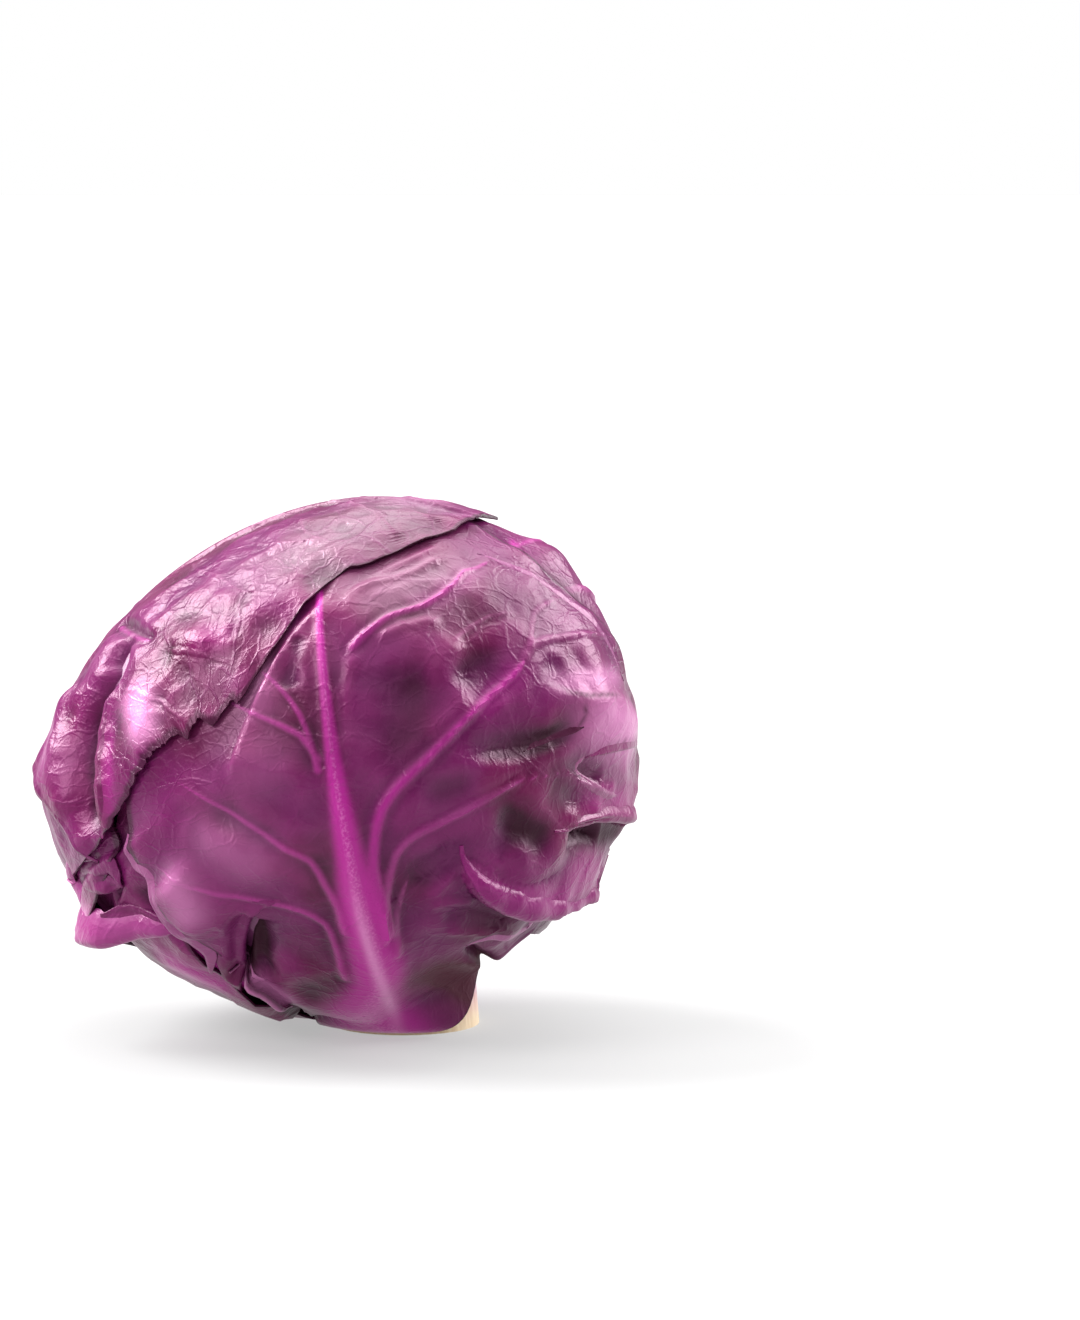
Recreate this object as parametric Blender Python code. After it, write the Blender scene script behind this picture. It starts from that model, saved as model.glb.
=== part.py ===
"""Red cabbage: a dense leaning head in its wrapper leaves, standing on its cut stem.

Units are metres, +Z is up, and the origin is the middle of the stem's flat cut face.
Directions on the head are angles: along is counted from the stem over the crown (90 at the
equator, 180 at the crown), across is counted to either side of a leaf's own middle plane,
and facing is the side of the head that the leaf grows on, 0 to the front and 90 to the right.
"""

from math import pi, radians

import bmesh
import bpy
import numpy as np
from mathutils import Vector

# Head: half-sizes over the wrapper leaves, and how it leans to the left on its stem.
HEAD_HALF_WIDTH = 0.0800
HEAD_HALF_HEIGHT = 0.0702
HEAD_CENTRE = np.array([-0.0168, 0.0, 0.0740])
LEAN = radians(13)

# The head's own axes: to the right, to the front, and from the stem to the crown.
HEAD_SIDE = np.array([np.cos(LEAN), 0.0, np.sin(LEAN)])
HEAD_FRONT = np.array([0.0, -1.0, 0.0])
HEAD_UP = np.array([-np.sin(LEAN), 0.0, np.cos(LEAN)])

# Leaves: thickness of the blade, and how far each one lies under the leaf that covers it.
# Outside a covering leaf's margin it comes out again, and its own ribs and waves further out.
LEAF_THICKNESS = 0.0009
LEAF_STEP = 0.0024
STEP_REACH = (0.0050, 0.0220)
RELIEF_REACH = (0.0080, 0.0240)
HEAD_CLEARANCE = 0.0010

# Feet of the outer leaves: they come down round the stem as far as the surface it stands on.
FOOT_ANGLES = (16.0, 25.0)
NECK_ANGLE = 25
FOOT_HEIGHT = 0.0002

# Midrib and side ribs: half-width and height, at the stem and at the tip.
MIDRIB_HALF_WIDTH = (0.0085, 0.0022)
MIDRIB_HEIGHT = (0.0042, 0.0010)
RIB_HEIGHT = 0.0014
PANEL_PUFF = 0.0006
RIB_SWEEP = 0.72

# Margin: how far in its waves reach, and their pitch in degrees.
WAVE_REACH = 0.013
WAVE_PITCH = 27.0

# Columns of a leaf's net, as shares of its half-width, close together beside the midrib.
COLUMNS = (0.05, 0.12, 0.27, 0.44, 0.61, 0.77, 0.90, 1.0)

# Underside of the inner head, where the stem runs up into it.
CORE_ANGLE = 30
CORE_RADIUS = 0.0520

# Cut stem: it stands on a flat face and narrows a little up to the leaf bases.
STEM_FOOT_RADIUS = 0.0204
STEM_NECK_RADIUS = 0.0180
STEM_SIDES = 32
STEM_GAP = 0.0009

PURPLE = (0.168, 0.029, 0.125, 1.0)
PALE_PURPLE = (0.254, 0.055, 0.192, 1.0)
CREAM = (0.799, 0.607, 0.462, 1.0)

# Swellings and hollows of the whole head: along, facing, half-size in degrees, height in metres.
HEAD_FORMS = (
    (128, 78, 34, 0.0030),
    (160, -60, 34, -0.0042),
    (140, -95, 26, -0.0020),
    (88, -82, 20, 0.0022),
    (36, 80, 18, -0.0030),
    (38, -95, 22, -0.0012),
    (62, -24, 9, -0.0026),
    (90, 36, 10, -0.0018),
    (76, 52, 11, -0.0018),
    (108, -57, 9, -0.0026),
    (78, -48, 8, -0.0022),
    (70, 150, 18, 0.0022),
    (110, 190, 20, -0.0018),
    (75, 225, 18, 0.0020),
    (120, 125, 16, -0.0016),
)


class Leaf:
    """One wrapper leaf, described in degrees on the head.

    foot is its attachment round the stem and neck the circle above it, each as the leaf's left
    end, its middle and its right end round the stem. left and right are the margins and midrib
    the middle line, as (along, across). ribs are (start on the midrib, end on the left margin,
    end on the right margin), all along. bold scales the ribs' height, wave is the height of
    the margin's waves, and bumps are the blade's own swellings, like those of the head. lip is
    the line of a fold near the right margin.
    """

    def __init__(self, name, facing, base, foot, neck, left, right, midrib, ribs, bold, wave,
                 bumps=(), lip=None):
        self.name = name
        self.facing = facing
        self.base = base
        self.rows_round = [(base, foot)]
        if neck:
            self.rows_round.append((NECK_ANGLE, neck))
        ends = [[foot_angles(angle, row[i]) for angle, row in self.rows_round] for i in range(3)]
        self.left = np.array([*ends[0], *left], float)
        self.midrib = np.array([*ends[1], *midrib], float)
        self.right = np.array([*ends[2], *right], float)
        self.ribs = ribs
        self.bold = bold
        self.wave = wave
        self.bumps = bumps
        self.lip = lip
        self.tip = self.midrib[-1, 0]


def foot_angles(from_stem, facing):
    """(along, across) of a point that far from the stem and that far round it."""
    t, f = radians(from_stem), radians(facing)
    along = np.arctan2(np.sin(t) * np.cos(f), np.cos(t))
    return np.degrees(along), np.degrees(np.arcsin(np.sin(t) * np.sin(f)))


def plain_leaf(name, facing, half_width, tip, rib_count=6, base=25, bold=0.3, bumps=()):
    """A broad wrapper leaf: its margins widen from the stem, round off and close at the tip."""
    shape = ((0.14, 0.5), (0.3, 0.82), (0.5, 1.0), (0.7, 0.95), (0.87, 0.72), (1.0, 0.34))
    reach = tip - base
    right = [(base + reach * share, half_width * width) for share, width in shape]
    left = [(along, -across) for along, across in right]
    midrib = [(base + reach * 0.5, 1.5), (tip, -1)]
    foot = (-42, 0, 40)
    neck = foot if base < NECK_ANGLE - 1 else None
    ribs = even_ribs(base, tip, rib_count)
    return Leaf(name, facing, base, foot, neck, left, right, midrib, ribs, bold, 0.0022, bumps)


def even_ribs(base, tip, count):
    """Side ribs set evenly up a leaf, sweeping up towards the margin most in its middle."""
    ribs = []
    for share in np.linspace(0.1, 0.84, count):
        start = base + (tip - base) * share
        end = start + (tip - base) * (0.04 + 0.42 * share * (1 - share))
        ribs.append((start, end, end))
    return ribs


# From the innermost wrapper leaf to the outermost.
LEAVES = (
    plain_leaf("leaf_left_base", -46, 38, 82, 5, 27),
    plain_leaf("leaf_back_right", 134, 42, 104, 6, 26),
    Leaf(
        "leaf_left_mid",
        -92,
        26,
        foot=(-45, 5, 50),
        neck=None,
        left=[(40, -22), (70, -28), (100, -26), (120, -14)],
        right=[(36, 33), (46, 38), (62, 45), (85, 49), (104, 42), (120, 18)],
        midrib=[(60, 10), (90, 11), (120, 2)],
        ribs=even_ribs(26, 120, 6),
        bold=0.2,
        wave=0.0022,
        bumps=((34, -50, 10, 0.0030),),
    ),
    plain_leaf(
        "leaf_right", 95, 60, 172, 8, 25, 0.4, ((134, 82, 10, 0.0048), (124, 92, 9, 0.0020)),
    ),
    Leaf(
        "leaf_left_low",
        -120,
        25,
        foot=(-40, 0, 35),
        neck=None,
        left=[(40, -24), (70, -30), (100, -30), (128, -14)],
        right=[(36, 18), (50, 26), (58, 37), (64, 51), (73, 64), (90, 68), (106, 58), (128, 20)],
        midrib=[(50, 8), (75, 16), (100, 16), (128, 2)],
        ribs=[
            (36, 44, 44), (50, 62, 57), (62, 80, 65), (76, 94, 76), (88, 104, 90),
            (100, 113, 104), (113, 122, 117),
        ],
        bold=0.2,
        wave=0.0024,
        bumps=((66, -66, 11, 0.0048),),
    ),
    Leaf(
        "leaf_back_left",
        -150,
        25,
        foot=(-40, 0, 32),
        neck=None,
        left=[(40, -27), (75, -38), (120, -38), (160, -16)],
        right=[(40, 20), (60, 30), (73, 42), (81, 58), (92, 68), (112, 66), (138, 48), (160, 16)],
        midrib=[(50, 6), (80, 14), (120, 13), (160, 0)],
        ribs=[
            (36, 44, 46), (50, 66, 64), (64, 86, 76), (84, 106, 86), (106, 128, 108),
            (132, 148, 138),
        ],
        bold=0.2,
        wave=0.0022,
    ),
    plain_leaf("leaf_back", 160, 52, 172, 8, 18, 0.7),
    Leaf(
        "leaf_front",
        22,
        17,
        foot=(-95, -28, 12),
        neck=(-72, -33, 37),
        left=[
            (27, -33), (35, -42), (42, -50), (50, -56), (60, -60), (74, -66), (90, -67),
            (113, -64), (149, -54), (165, -33),
        ],
        right=[
            (28, 17), (31.5, 30), (33.5, 42), (39, 51), (48, 58), (63, 65), (85, 68.5), (110, 60),
            (124, 46), (135, 37), (149, 33), (165, 25),
        ],
        midrib=[(43, -16), (72, -20.5), (96, -20), (120, -15), (137, -9), (165, 0)],
        ribs=[
            (32, 37, 27), (42, 50, 32), (54, 74, 39), (62, 92, 60), (74, 108, 92),
            (92, 124, 114), (108, 138, 130), (130, 152, 148),
        ],
        bold=1.0,
        wave=0.0014,
        bumps=(
            (74, -38, 11, 0.0024),
            (96, 66, 12, 0.0020),
            (65, 84, 10, 0.0028),
            (118, 22, 10, 0.0016),
            (112, -16, 9, 0.0012),
        ),
        lip=((47, 24), (45, 34), (47, 50), (52, 62)),
    ),
    Leaf(
        "leaf_left",
        -110,
        17,
        foot=(-42, 0, 30),
        neck=(-46, 0, 28),
        left=[
            (32, -30), (52, -46), (75, -54), (100, -58), (130, -58), (160, -52), (190, -42),
            (223, -20),
        ],
        right=[
            (40, 14), (62, 19), (75, 26), (83, 40), (91, 54), (105, 66), (136, 70.5), (164, 72.5),
            (190, 69.5), (197, 67), (203, 57), (206, 45), (209.5, 34), (215.5, 24), (223, 9),
        ],
        midrib=[(70, 0), (120, 0), (170, -4), (223, -3)],
        ribs=[
            (36, 46, 44), (50, 68, 64), (64, 88, 79), (82, 108, 89), (102, 130, 104),
            (126, 150, 136), (148, 172, 166), (170, 192, 190), (186, 204, 199), (202, 213, 207),
        ],
        bold=0.6,
        wave=0.0006,
        bumps=((100, -78, 10, 0.0026), (25, -105, 9, 0.0027)),
    ),
)


def through(knots, x):
    """A smooth curve through knots of (x, y), level past both ends."""
    kx, ky = knots[:, 0], knots[:, 1]
    slope = np.gradient(ky, kx)
    x = np.clip(x, kx[0], kx[-1])
    i = np.clip(np.searchsorted(kx, x, side="right") - 1, 0, len(kx) - 2)
    span = kx[i + 1] - kx[i]
    t = (x - kx[i]) / span
    return (
        ky[i] * (1 + 2 * t) * (1 - t) ** 2
        + slope[i] * span * t * (1 - t) ** 2
        + ky[i + 1] * t * t * (3 - 2 * t)
        + slope[i + 1] * span * t * t * (t - 1)
    )


def smooth(low, high, x):
    """0 up to low, 1 from high on, and an even slope between them."""
    t = np.clip((x - low) / (high - low), 0, 1)
    return t * t * (3 - 2 * t)


def leaf_planes(facing):
    """The three directions a leaf's angles are counted in: to the stem, outwards, to its right."""
    f = radians(facing)
    return (
        np.array([0.0, 0.0, -1.0]),
        np.array([np.sin(f), np.cos(f), 0.0]),
        np.array([np.cos(f), -np.sin(f), 0.0]),
    )


def to_direction(facing, along, across):
    """Unit vectors on the head's own axes, from a leaf's angles in degrees."""
    stemward, outward, rightward = leaf_planes(facing)
    a, b = np.radians(along)[..., None], np.radians(across)[..., None]
    return np.cos(b) * (np.cos(a) * stemward + np.sin(a) * outward) + np.sin(b) * rightward


def to_angles(facing, direction):
    """The reverse of to_direction. along runs from -90 to 270, so it has no jump at the crown."""
    stemward, outward, rightward = leaf_planes(facing)
    along = np.degrees(np.arctan2(direction @ outward, direction @ stemward))
    along = np.where(along < -90, along + 360, along)
    return along, np.degrees(np.arcsin(np.clip(direction @ rightward, -1, 1)))


def head_radius(direction):
    """Distance from the head's centre to the outside of its outermost leaves."""
    flat = direction / np.array([HEAD_HALF_WIDTH, HEAD_HALF_WIDTH, HEAD_HALF_HEIGHT])
    return 1 / np.linalg.norm(flat, axis=-1) + swell(HEAD_FORMS, direction)


def swell(forms, direction):
    """Height of a list of rounded swellings and hollows."""
    height = np.zeros(direction.shape[:-1])
    for along, facing, size, top in forms:
        middle = to_direction(facing, np.array(along, float), np.array(0.0))
        away = np.degrees(np.arccos(np.clip(direction @ middle, -1, 1)))
        height = height + top * np.exp(-((away / size) ** 2))
    return height


def stem_angle(direction):
    return np.degrees(np.arccos(np.clip(-direction[..., 2], -1, 1)))


def margin_distance(leaf, direction):
    """How far inside a leaf's outline a direction lies, in metres, and below 0 outside it."""
    along, across = to_angles(leaf.facing, direction)
    sides = np.minimum(through(leaf.right, along) - across, across - through(leaf.left, along))
    to_tip = (leaf.tip - along) * np.cos(np.radians(across))
    from_foot = np.minimum(stem_angle(direction) - leaf.base, along + 5)
    inside = np.minimum(np.minimum(sides, to_tip), from_foot)
    return inside * HEAD_HALF_WIDTH * pi / 180


def cover(leaf, direction, reach):
    """1 under a leaf and close round it, falling to 0 a little way outside its margin.

    The way is shorter near the stem, where the leaves are narrow and close together.
    """
    narrow = np.sin(np.radians(np.clip(stem_angle(direction), 18, 90)))
    return smooth(-reach[1], -reach[0], margin_distance(leaf, direction) / narrow)


def sunk_radius(level, direction):
    """Radius of a layer that all the leaves from that level on lie over."""
    depth = sum(cover(leaf, direction, STEP_REACH) for leaf in LEAVES[level:])
    return head_radius(direction) - LEAF_STEP * depth


def open_share(level, direction):
    """1 where no leaf from that level on covers a direction, 0 where one does."""
    share = np.ones(direction.shape[:-1])
    for leaf in LEAVES[level:]:
        share = share * (1 - cover(leaf, direction, RELIEF_REACH))
    return share


def down_to_surface(direction, radius):
    """Brings the feet of the leaves out from the head's round, down to the stem's flat face."""
    world = direction[..., 0, None] * HEAD_SIDE + direction[..., 2, None] * HEAD_UP
    level = (HEAD_CENTRE[2] - FOOT_HEIGHT) / np.maximum(-world[..., 2], 0.2)
    share = 1 - smooth(*FOOT_ANGLES, stem_angle(direction))
    return radius + np.maximum(level - radius, 0) * share


def midrib_relief(leaf, along, across):
    """The midrib: broad and high at the stem, slim and low at the tip."""
    share = np.clip(along / leaf.tip, 0, 1)
    half_width = np.interp(np.sqrt(share), (0, 1), MIDRIB_HALF_WIDTH)
    height = leaf.bold * np.interp(share, (0, 1), MIDRIB_HEIGHT)
    off = np.radians(across - through(leaf.midrib, along)) * HEAD_HALF_WIDTH
    return height * np.exp(-((off / half_width) ** 2))


def lip_relief(leaf, along, across):
    """The front leaf's right margin folds over itself in a hanging lip."""
    if leaf.lip is None:
        return 0.0
    line = np.array([(b, a) for a, b in leaf.lip], float)
    above = along - through(line, across)
    ends = smooth(line[0, 0] - 3, line[0, 0] + 6, across)
    return 0.0050 * ends * smooth(0, 6, above) * (1 - smooth(12, 26, above))


def wave_relief(leaf, along, inside):
    """The margin's waves, which stand outwards only."""
    wave = 0.5 + 0.5 * np.sin(along * 2 * pi / WAVE_PITCH + radians(leaf.facing) * 3)
    return leaf.wave * wave * (1 - smooth(0, WAVE_REACH, inside))


def leaf_rows(leaf):
    """The net's rows over the foot: each is (start on the midrib, left end, right end, rib
    share), where the rib share is 1 on a side rib and 0 in the hollow between two."""
    low = len(leaf.rows_round) - 1
    last = (leaf.midrib[low, 0], leaf.left[low, 0], leaf.right[low, 0])
    rows = []
    for rib in leaf.ribs:
        rows.append((*mean(last, rib), 0.0))
        rows.append((*rib, 1.0))
        last = rib
    tip = (leaf.tip, leaf.tip, leaf.tip)
    rows.append((*mean(last, tip), 0.0))
    rows.append((*tip, 0.0))
    return rows


def mean(first, second):
    return [(a + b) / 2 for a, b in zip(first, second)]


def leaf_net(leaf):
    """The net's angles and the height of its side ribs, its rows running along the ribs."""
    rows = leaf_rows(leaf)
    low = len(leaf.rows_round)
    centre = len(COLUMNS)
    along = np.zeros((low + len(rows), 2 * centre + 1))
    across = np.zeros_like(along)
    rib = np.zeros_like(along)
    for side, end, margin in ((-1, 1, leaf.left), (1, 2, leaf.right)):
        for c, u in enumerate((0.0, *COLUMNS)):
            at = centre + side * c
            for r, (angle, row) in enumerate(leaf.rows_round):
                round_stem = row[1] + (row[1 + side] - row[1]) * u
                along[r, at], across[r, at] = foot_angles(angle, round_stem)
            for r, row in enumerate(rows, low):
                start, share = row[0], row[3]
                middle, edge = through(leaf.midrib, start), through(margin, row[end])
                along[r, at] = start + (row[end] - start) * u**RIB_SWEEP
                across[r, at] = middle + (edge - middle) * u
                rib[r, at] = RIB_HEIGHT * share * (1 - u) ** 0.5 + PANEL_PUFF * (1 - share) * u
    rib = rib * leaf.bold**0.5
    rib[:, centre] = 0
    return along, across, rib


def leaf_points(level):
    """The outer face of a leaf as a net of points."""
    leaf = LEAVES[level]
    along, across, rib = leaf_net(leaf)
    direction = to_direction(leaf.facing, along, across)
    inside = np.maximum(margin_distance(leaf, direction), 0)
    relief = midrib_relief(leaf, along, across) + rib + lip_relief(leaf, along, across)
    relief = relief + wave_relief(leaf, along, inside) + swell(leaf.bumps, direction)
    radius = sunk_radius(level + 1, direction) + relief * open_share(level + 1, direction)
    return to_world(direction, down_to_surface(direction, radius))


def to_world(direction, radius):
    """Points in the part's frame, from directions on the head's axes and distances."""
    x, y, z = (direction[..., i, None] for i in range(3))
    return HEAD_CENTRE + radius[..., None] * (x * HEAD_SIDE + y * HEAD_FRONT + z * HEAD_UP)


def material(name, colour, roughness):
    made = bpy.data.materials.new(name)
    made.use_nodes = True
    shader = made.node_tree.nodes["Principled BSDF"]
    shader.inputs["Base Color"].default_value = colour
    shader.inputs["Roughness"].default_value = roughness
    shader.inputs["Metallic"].default_value = 0.0
    made.diffuse_color = colour
    return made


def object_from(name, bm, finish):
    mesh = bpy.data.meshes.new(name)
    bm.to_mesh(mesh)
    bm.free()
    mesh.materials.append(finish)
    mesh.shade_smooth()
    made = bpy.data.objects.new(name, mesh)
    bpy.context.scene.collection.objects.link(made)
    return made


def build_leaf(level, finish):
    """A leaf: its outer face as a net of triangles, given its thickness inwards."""
    points = leaf_points(level)
    bm = bmesh.new()
    net = [[bm.verts.new(p) for p in row] for row in points]
    for below, over in zip(net, net[1:]):
        for c in range(len(below) - 1):
            # The diagonal leans with the ribs, so it differs on the two sides of the midrib.
            if c < len(COLUMNS):
                bm.faces.new((below[c], below[c + 1], over[c]))
                bm.faces.new((below[c + 1], over[c + 1], over[c]))
            else:
                bm.faces.new((below[c], below[c + 1], over[c + 1]))
                bm.faces.new((below[c], over[c + 1], over[c]))
    made = object_from(LEAVES[level].name, bm, finish)
    blade = made.modifiers.new("Blade", "SOLIDIFY")
    blade.thickness = LEAF_THICKNESS
    blade.offset = -1
    return made


def tuck_relief(direction):
    """The inner head's own leaves show as low steps that wind round it."""
    angle = np.degrees(np.arctan2(direction[..., 0], direction[..., 1]))
    height = np.degrees(np.arccos(np.clip(-direction[..., 2], -1, 1)))
    turn = (angle + height * 0.55) % 72
    return -0.0012 * turn / 72


def build_head(finish):
    """The dense head inside the wrapper leaves, where its own leaves lie tightly packed."""
    bpy.ops.mesh.primitive_uv_sphere_add(segments=36, ring_count=24, radius=1)
    made = bpy.context.object
    made.name = "inner_head"
    made.data.name = "inner_head"
    for vertex in made.data.vertices:
        direction = np.array(vertex.co.normalized())
        radius = sunk_radius(0, direction) - HEAD_CLEARANCE + tuck_relief(direction)
        above_stem = smooth(8, CORE_ANGLE, stem_angle(direction))
        radius = CORE_RADIUS + (radius - CORE_RADIUS) * above_stem
        vertex.co = to_world(direction, radius)
    # The head's axes are left-handed, so the sphere comes out turned inside out.
    made.data.flip_normals()
    made.data.materials.append(finish)
    made.data.shade_smooth()
    return made


def build_stem(finish, head):
    """The stem's butt: a short cone cut off flat below, and hollowed where the head sits in it."""
    top = 0.030
    bpy.ops.mesh.primitive_cone_add(
        vertices=STEM_SIDES,
        radius1=STEM_FOOT_RADIUS,
        radius2=STEM_NECK_RADIUS,
        depth=top,
        location=(0, 0, top / 2),
    )
    made = bpy.context.object
    made.name = "stem"
    made.data.name = "stem"
    seat = bpy.data.objects.new("stem_seat", head.data.copy())
    bpy.context.scene.collection.objects.link(seat)
    grow = 1 + STEM_GAP / HEAD_HALF_HEIGHT
    for vertex in seat.data.vertices:
        vertex.co = Vector(HEAD_CENTRE) + (vertex.co - Vector(HEAD_CENTRE)) * grow
    seat.hide_render = True
    seat.display_type = "WIRE"
    cut = made.modifiers.new("Seat of the head", "BOOLEAN")
    cut.operation = "DIFFERENCE"
    cut.object = seat
    made.data.materials.append(finish)
    made.data.shade_smooth()
    made.data.set_sharp_from_angle(angle=radians(40))
    return made


def main():
    for old in list(bpy.data.objects):
        bpy.data.objects.remove(old)
    purple = material("waxy purple leaf", PURPLE, 0.38)
    pale_purple = material("tight inner leaf", PALE_PURPLE, 0.42)
    cream = material("cut stem", CREAM, 0.6)
    for level in range(len(LEAVES)):
        build_leaf(level, purple)
    head = build_head(pale_purple)
    build_stem(cream, head)


main()
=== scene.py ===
"""The looks of the red cabbage: its wrapper leaves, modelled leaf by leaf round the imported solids."""

from math import cos, pi, radians, sin

import bpy
import numpy as np
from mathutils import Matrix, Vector


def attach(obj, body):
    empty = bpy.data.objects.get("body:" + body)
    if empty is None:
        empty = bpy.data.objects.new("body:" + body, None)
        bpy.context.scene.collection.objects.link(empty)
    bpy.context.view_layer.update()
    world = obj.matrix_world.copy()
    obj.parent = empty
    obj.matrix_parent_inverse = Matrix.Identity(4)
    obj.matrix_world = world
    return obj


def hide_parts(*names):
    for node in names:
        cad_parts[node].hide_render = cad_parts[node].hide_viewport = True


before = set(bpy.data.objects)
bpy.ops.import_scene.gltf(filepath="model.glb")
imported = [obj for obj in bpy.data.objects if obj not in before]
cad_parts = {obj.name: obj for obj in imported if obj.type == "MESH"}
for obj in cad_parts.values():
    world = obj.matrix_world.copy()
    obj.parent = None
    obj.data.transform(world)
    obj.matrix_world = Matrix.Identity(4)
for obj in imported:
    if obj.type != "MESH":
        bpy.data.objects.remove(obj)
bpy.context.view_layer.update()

# Camera. A long lens looks down a little on the cabbage, which stands left of the middle.
# The photograph's frame is 1080 by 1320 pixels, and the stem's middle is at STEM_PIXEL in it.
PHOTO_SIZE = (1080, 1320)
STEM_PIXEL = (405, 1022)
PIXELS_PER_METRE = 3643.0
LENS_MM = 135.0
SENSOR_MM = 36.0
LOOK_DOWN = radians(6.0)

FOCAL_PIXELS = LENS_MM / SENSOR_MM * PHOTO_SIZE[1]
CAMERA_RIGHT = np.array([1.0, 0.0, 0.0])
CAMERA_AHEAD = np.array([0.0, cos(LOOK_DOWN), -sin(LOOK_DOWN)])
CAMERA_UP = np.array([0.0, sin(LOOK_DOWN), cos(LOOK_DOWN)])


def sight_line(pixel):
    """Direction of the view through a pixel of the photograph."""
    right = (pixel[0] - PHOTO_SIZE[0] / 2) / FOCAL_PIXELS
    up = (PHOTO_SIZE[1] / 2 - pixel[1]) / FOCAL_PIXELS
    return CAMERA_AHEAD + CAMERA_RIGHT * right + CAMERA_UP * up


EYE = -sight_line(STEM_PIXEL) * FOCAL_PIXELS / PIXELS_PER_METRE

bpy.ops.object.camera_add(location=EYE, rotation=(pi / 2 - LOOK_DOWN, 0, 0))
camera = bpy.context.object
camera.data.lens = LENS_MM
camera.data.sensor_width = SENSOR_MM
camera.data.clip_start = 0.05
bpy.context.scene.camera = camera

# Studio: a white sweep under and behind the cabbage, lit softly from behind on both sides and
# less from the front. It is not part of the object.
bpy.ops.mesh.primitive_plane_add(size=40, location=(0, 0, 0))
floor = bpy.context.object
floor.name = "studio_floor"


def new_material(name, settings):
    """A material and its shader, with these of its inputs set."""
    material = bpy.data.materials.new(name)
    material.use_nodes = True
    shader = material.node_tree.nodes["Principled BSDF"]
    for socket, value in settings.items():
        shader.inputs[socket].default_value = value
    return material, shader


def add_node(owner, kind, settings, output, **links):
    """Adds a node and gives one of its outputs. settings are its properties, and links its
    inputs, by name or as i and their number: values, or the outputs of other nodes."""
    node = owner.node_tree.nodes.new(kind)
    for name, value in settings.items():
        setattr(node, name, value)
    for name, value in links.items():
        socket = node.inputs[int(name[1:])] if name[1:].isdigit() else node.inputs[name]
        if isinstance(value, bpy.types.NodeSocket):
            owner.node_tree.links.new(value, socket)
        else:
            socket.default_value = value
    return node.outputs[output]


WHITE = (1, 1, 1, 1)
# Plain matt paper, lit a little from within so that it stays white round the shadow.
PAPER = {
    "Base Color": (0.21, 0.21, 0.21, 1),
    "Roughness": 0.8,
    "Specular IOR Level": 0.2,
    "Emission Color": WHITE,
    "Emission Strength": 0.44,
}
paper, _ = new_material("matt white paper", PAPER)
floor.data.materials.append(paper)

SOFT_LIGHTS = (
    # degrees round from the front to the right, degrees up, width in degrees, strength
    (-116, 42, 40, 6.6),
    (118, 32, 40, 4.2),
    (180, 66, 60, 3.4),
    (-58, 34, 24, 1.7),
    (10, 50, 70, 1.2),
)
for around, height, width, strength in SOFT_LIGHTS:
    a, h = radians(around), radians(height)
    toward = -Vector((sin(a) * cos(h), -cos(a) * cos(h), sin(h)))
    bpy.ops.object.light_add(type="SUN", rotation=toward.to_track_quat("-Z", "Y").to_euler())
    light = bpy.context.object
    light.data.angle = radians(width)
    light.data.energy = strength

# The sweep is white to the eye, and dimmer than that where it lights the leaves.
studio = bpy.data.worlds.new("white studio")
studio.use_nodes = True
bright = studio.node_tree.nodes["Background"]
bright.inputs["Color"].default_value = WHITE
dim = add_node(studio, "ShaderNodeBackground", {}, 0, Color=WHITE, Strength=0.13)
from_camera = add_node(studio, "ShaderNodeLightPath", {}, "Is Camera Ray")
pick = add_node(studio, "ShaderNodeMixShader", {}, 0, i0=from_camera, i1=dim, i2=bright.outputs[0])
studio.node_tree.links.new(pick, studio.node_tree.nodes["World Output"].inputs["Surface"])
bpy.context.scene.world = studio
bpy.context.scene.view_settings.view_transform = "Standard"

# Outer left leaf. The outermost wrapper leaf covers the left side and goes over the crown, and
# its dark, finely torn right margin lies on the front leaf. Its left part folds in on itself.

# The head's round, on which every leaf lies as one more layer. It leans to the left on its stem.
# A direction is a unit vector from its middle; angles on it are along, from the stem over the
# crown, across, to a leaf's left and right, and facing, round the stem.
HALF_WIDTH = 0.0800
HALF_HEIGHT = 0.0702
MIDDLE = np.array([-0.0168, 0.0, 0.0740])
LEAN = radians(13)
SIDE = np.array([cos(LEAN), 0.0, sin(LEAN)])
FRONT = np.array([0.0, -1.0, 0.0])
UP = np.array([-sin(LEAN), 0.0, cos(LEAN)])
AXES = np.array([SIDE, FRONT, UP])
MM = 0.001
MM_PER_DEGREE = HALF_WIDTH / MM * pi / 180

# A leaf lies LEAF_STEP deeper for each leaf over it. That dies away over STEP_REACH outside the
# upper leaf's margin, and the lower one's relief comes back over RELIEF_REACH.
LEAF_STEP = 1.7 * MM
STEP_REACH = (5.0 * MM, 22.0 * MM)
RELIEF_REACH = (8.0 * MM, 24.0 * MM)
# Leaves come down to FOOT_HEIGHT over the surface between these angles from the stem, in degrees.
FOOT_ANGLES = (16.0, 25.0)
NECK_ANGLE = 25
FOOT_HEIGHT = 0.9 * MM

# Swellings and hollows of the whole head: along, facing, half-size in degrees, height in mm.
HEAD_FORMS = (
    (128, 78, 34, 3.0),
    (160, -60, 34, -4.2),
    (140, -95, 26, -2.0),
    (88, -82, 20, 2.2),
    (36, 80, 18, -3.0),
    (38, -95, 22, -1.2),
    (62, -24, 9, -2.6),
    (90, 36, 10, -1.8),
    (76, 52, 11, -1.8),
    (108, -57, 9, -2.6),
    (78, -48, 8, -2.2),
    (70, 150, 18, 2.2),
    (110, 190, 20, -1.8),
    (75, 225, 18, 2.0),
    (120, 125, 16, -1.6),
)


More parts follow.
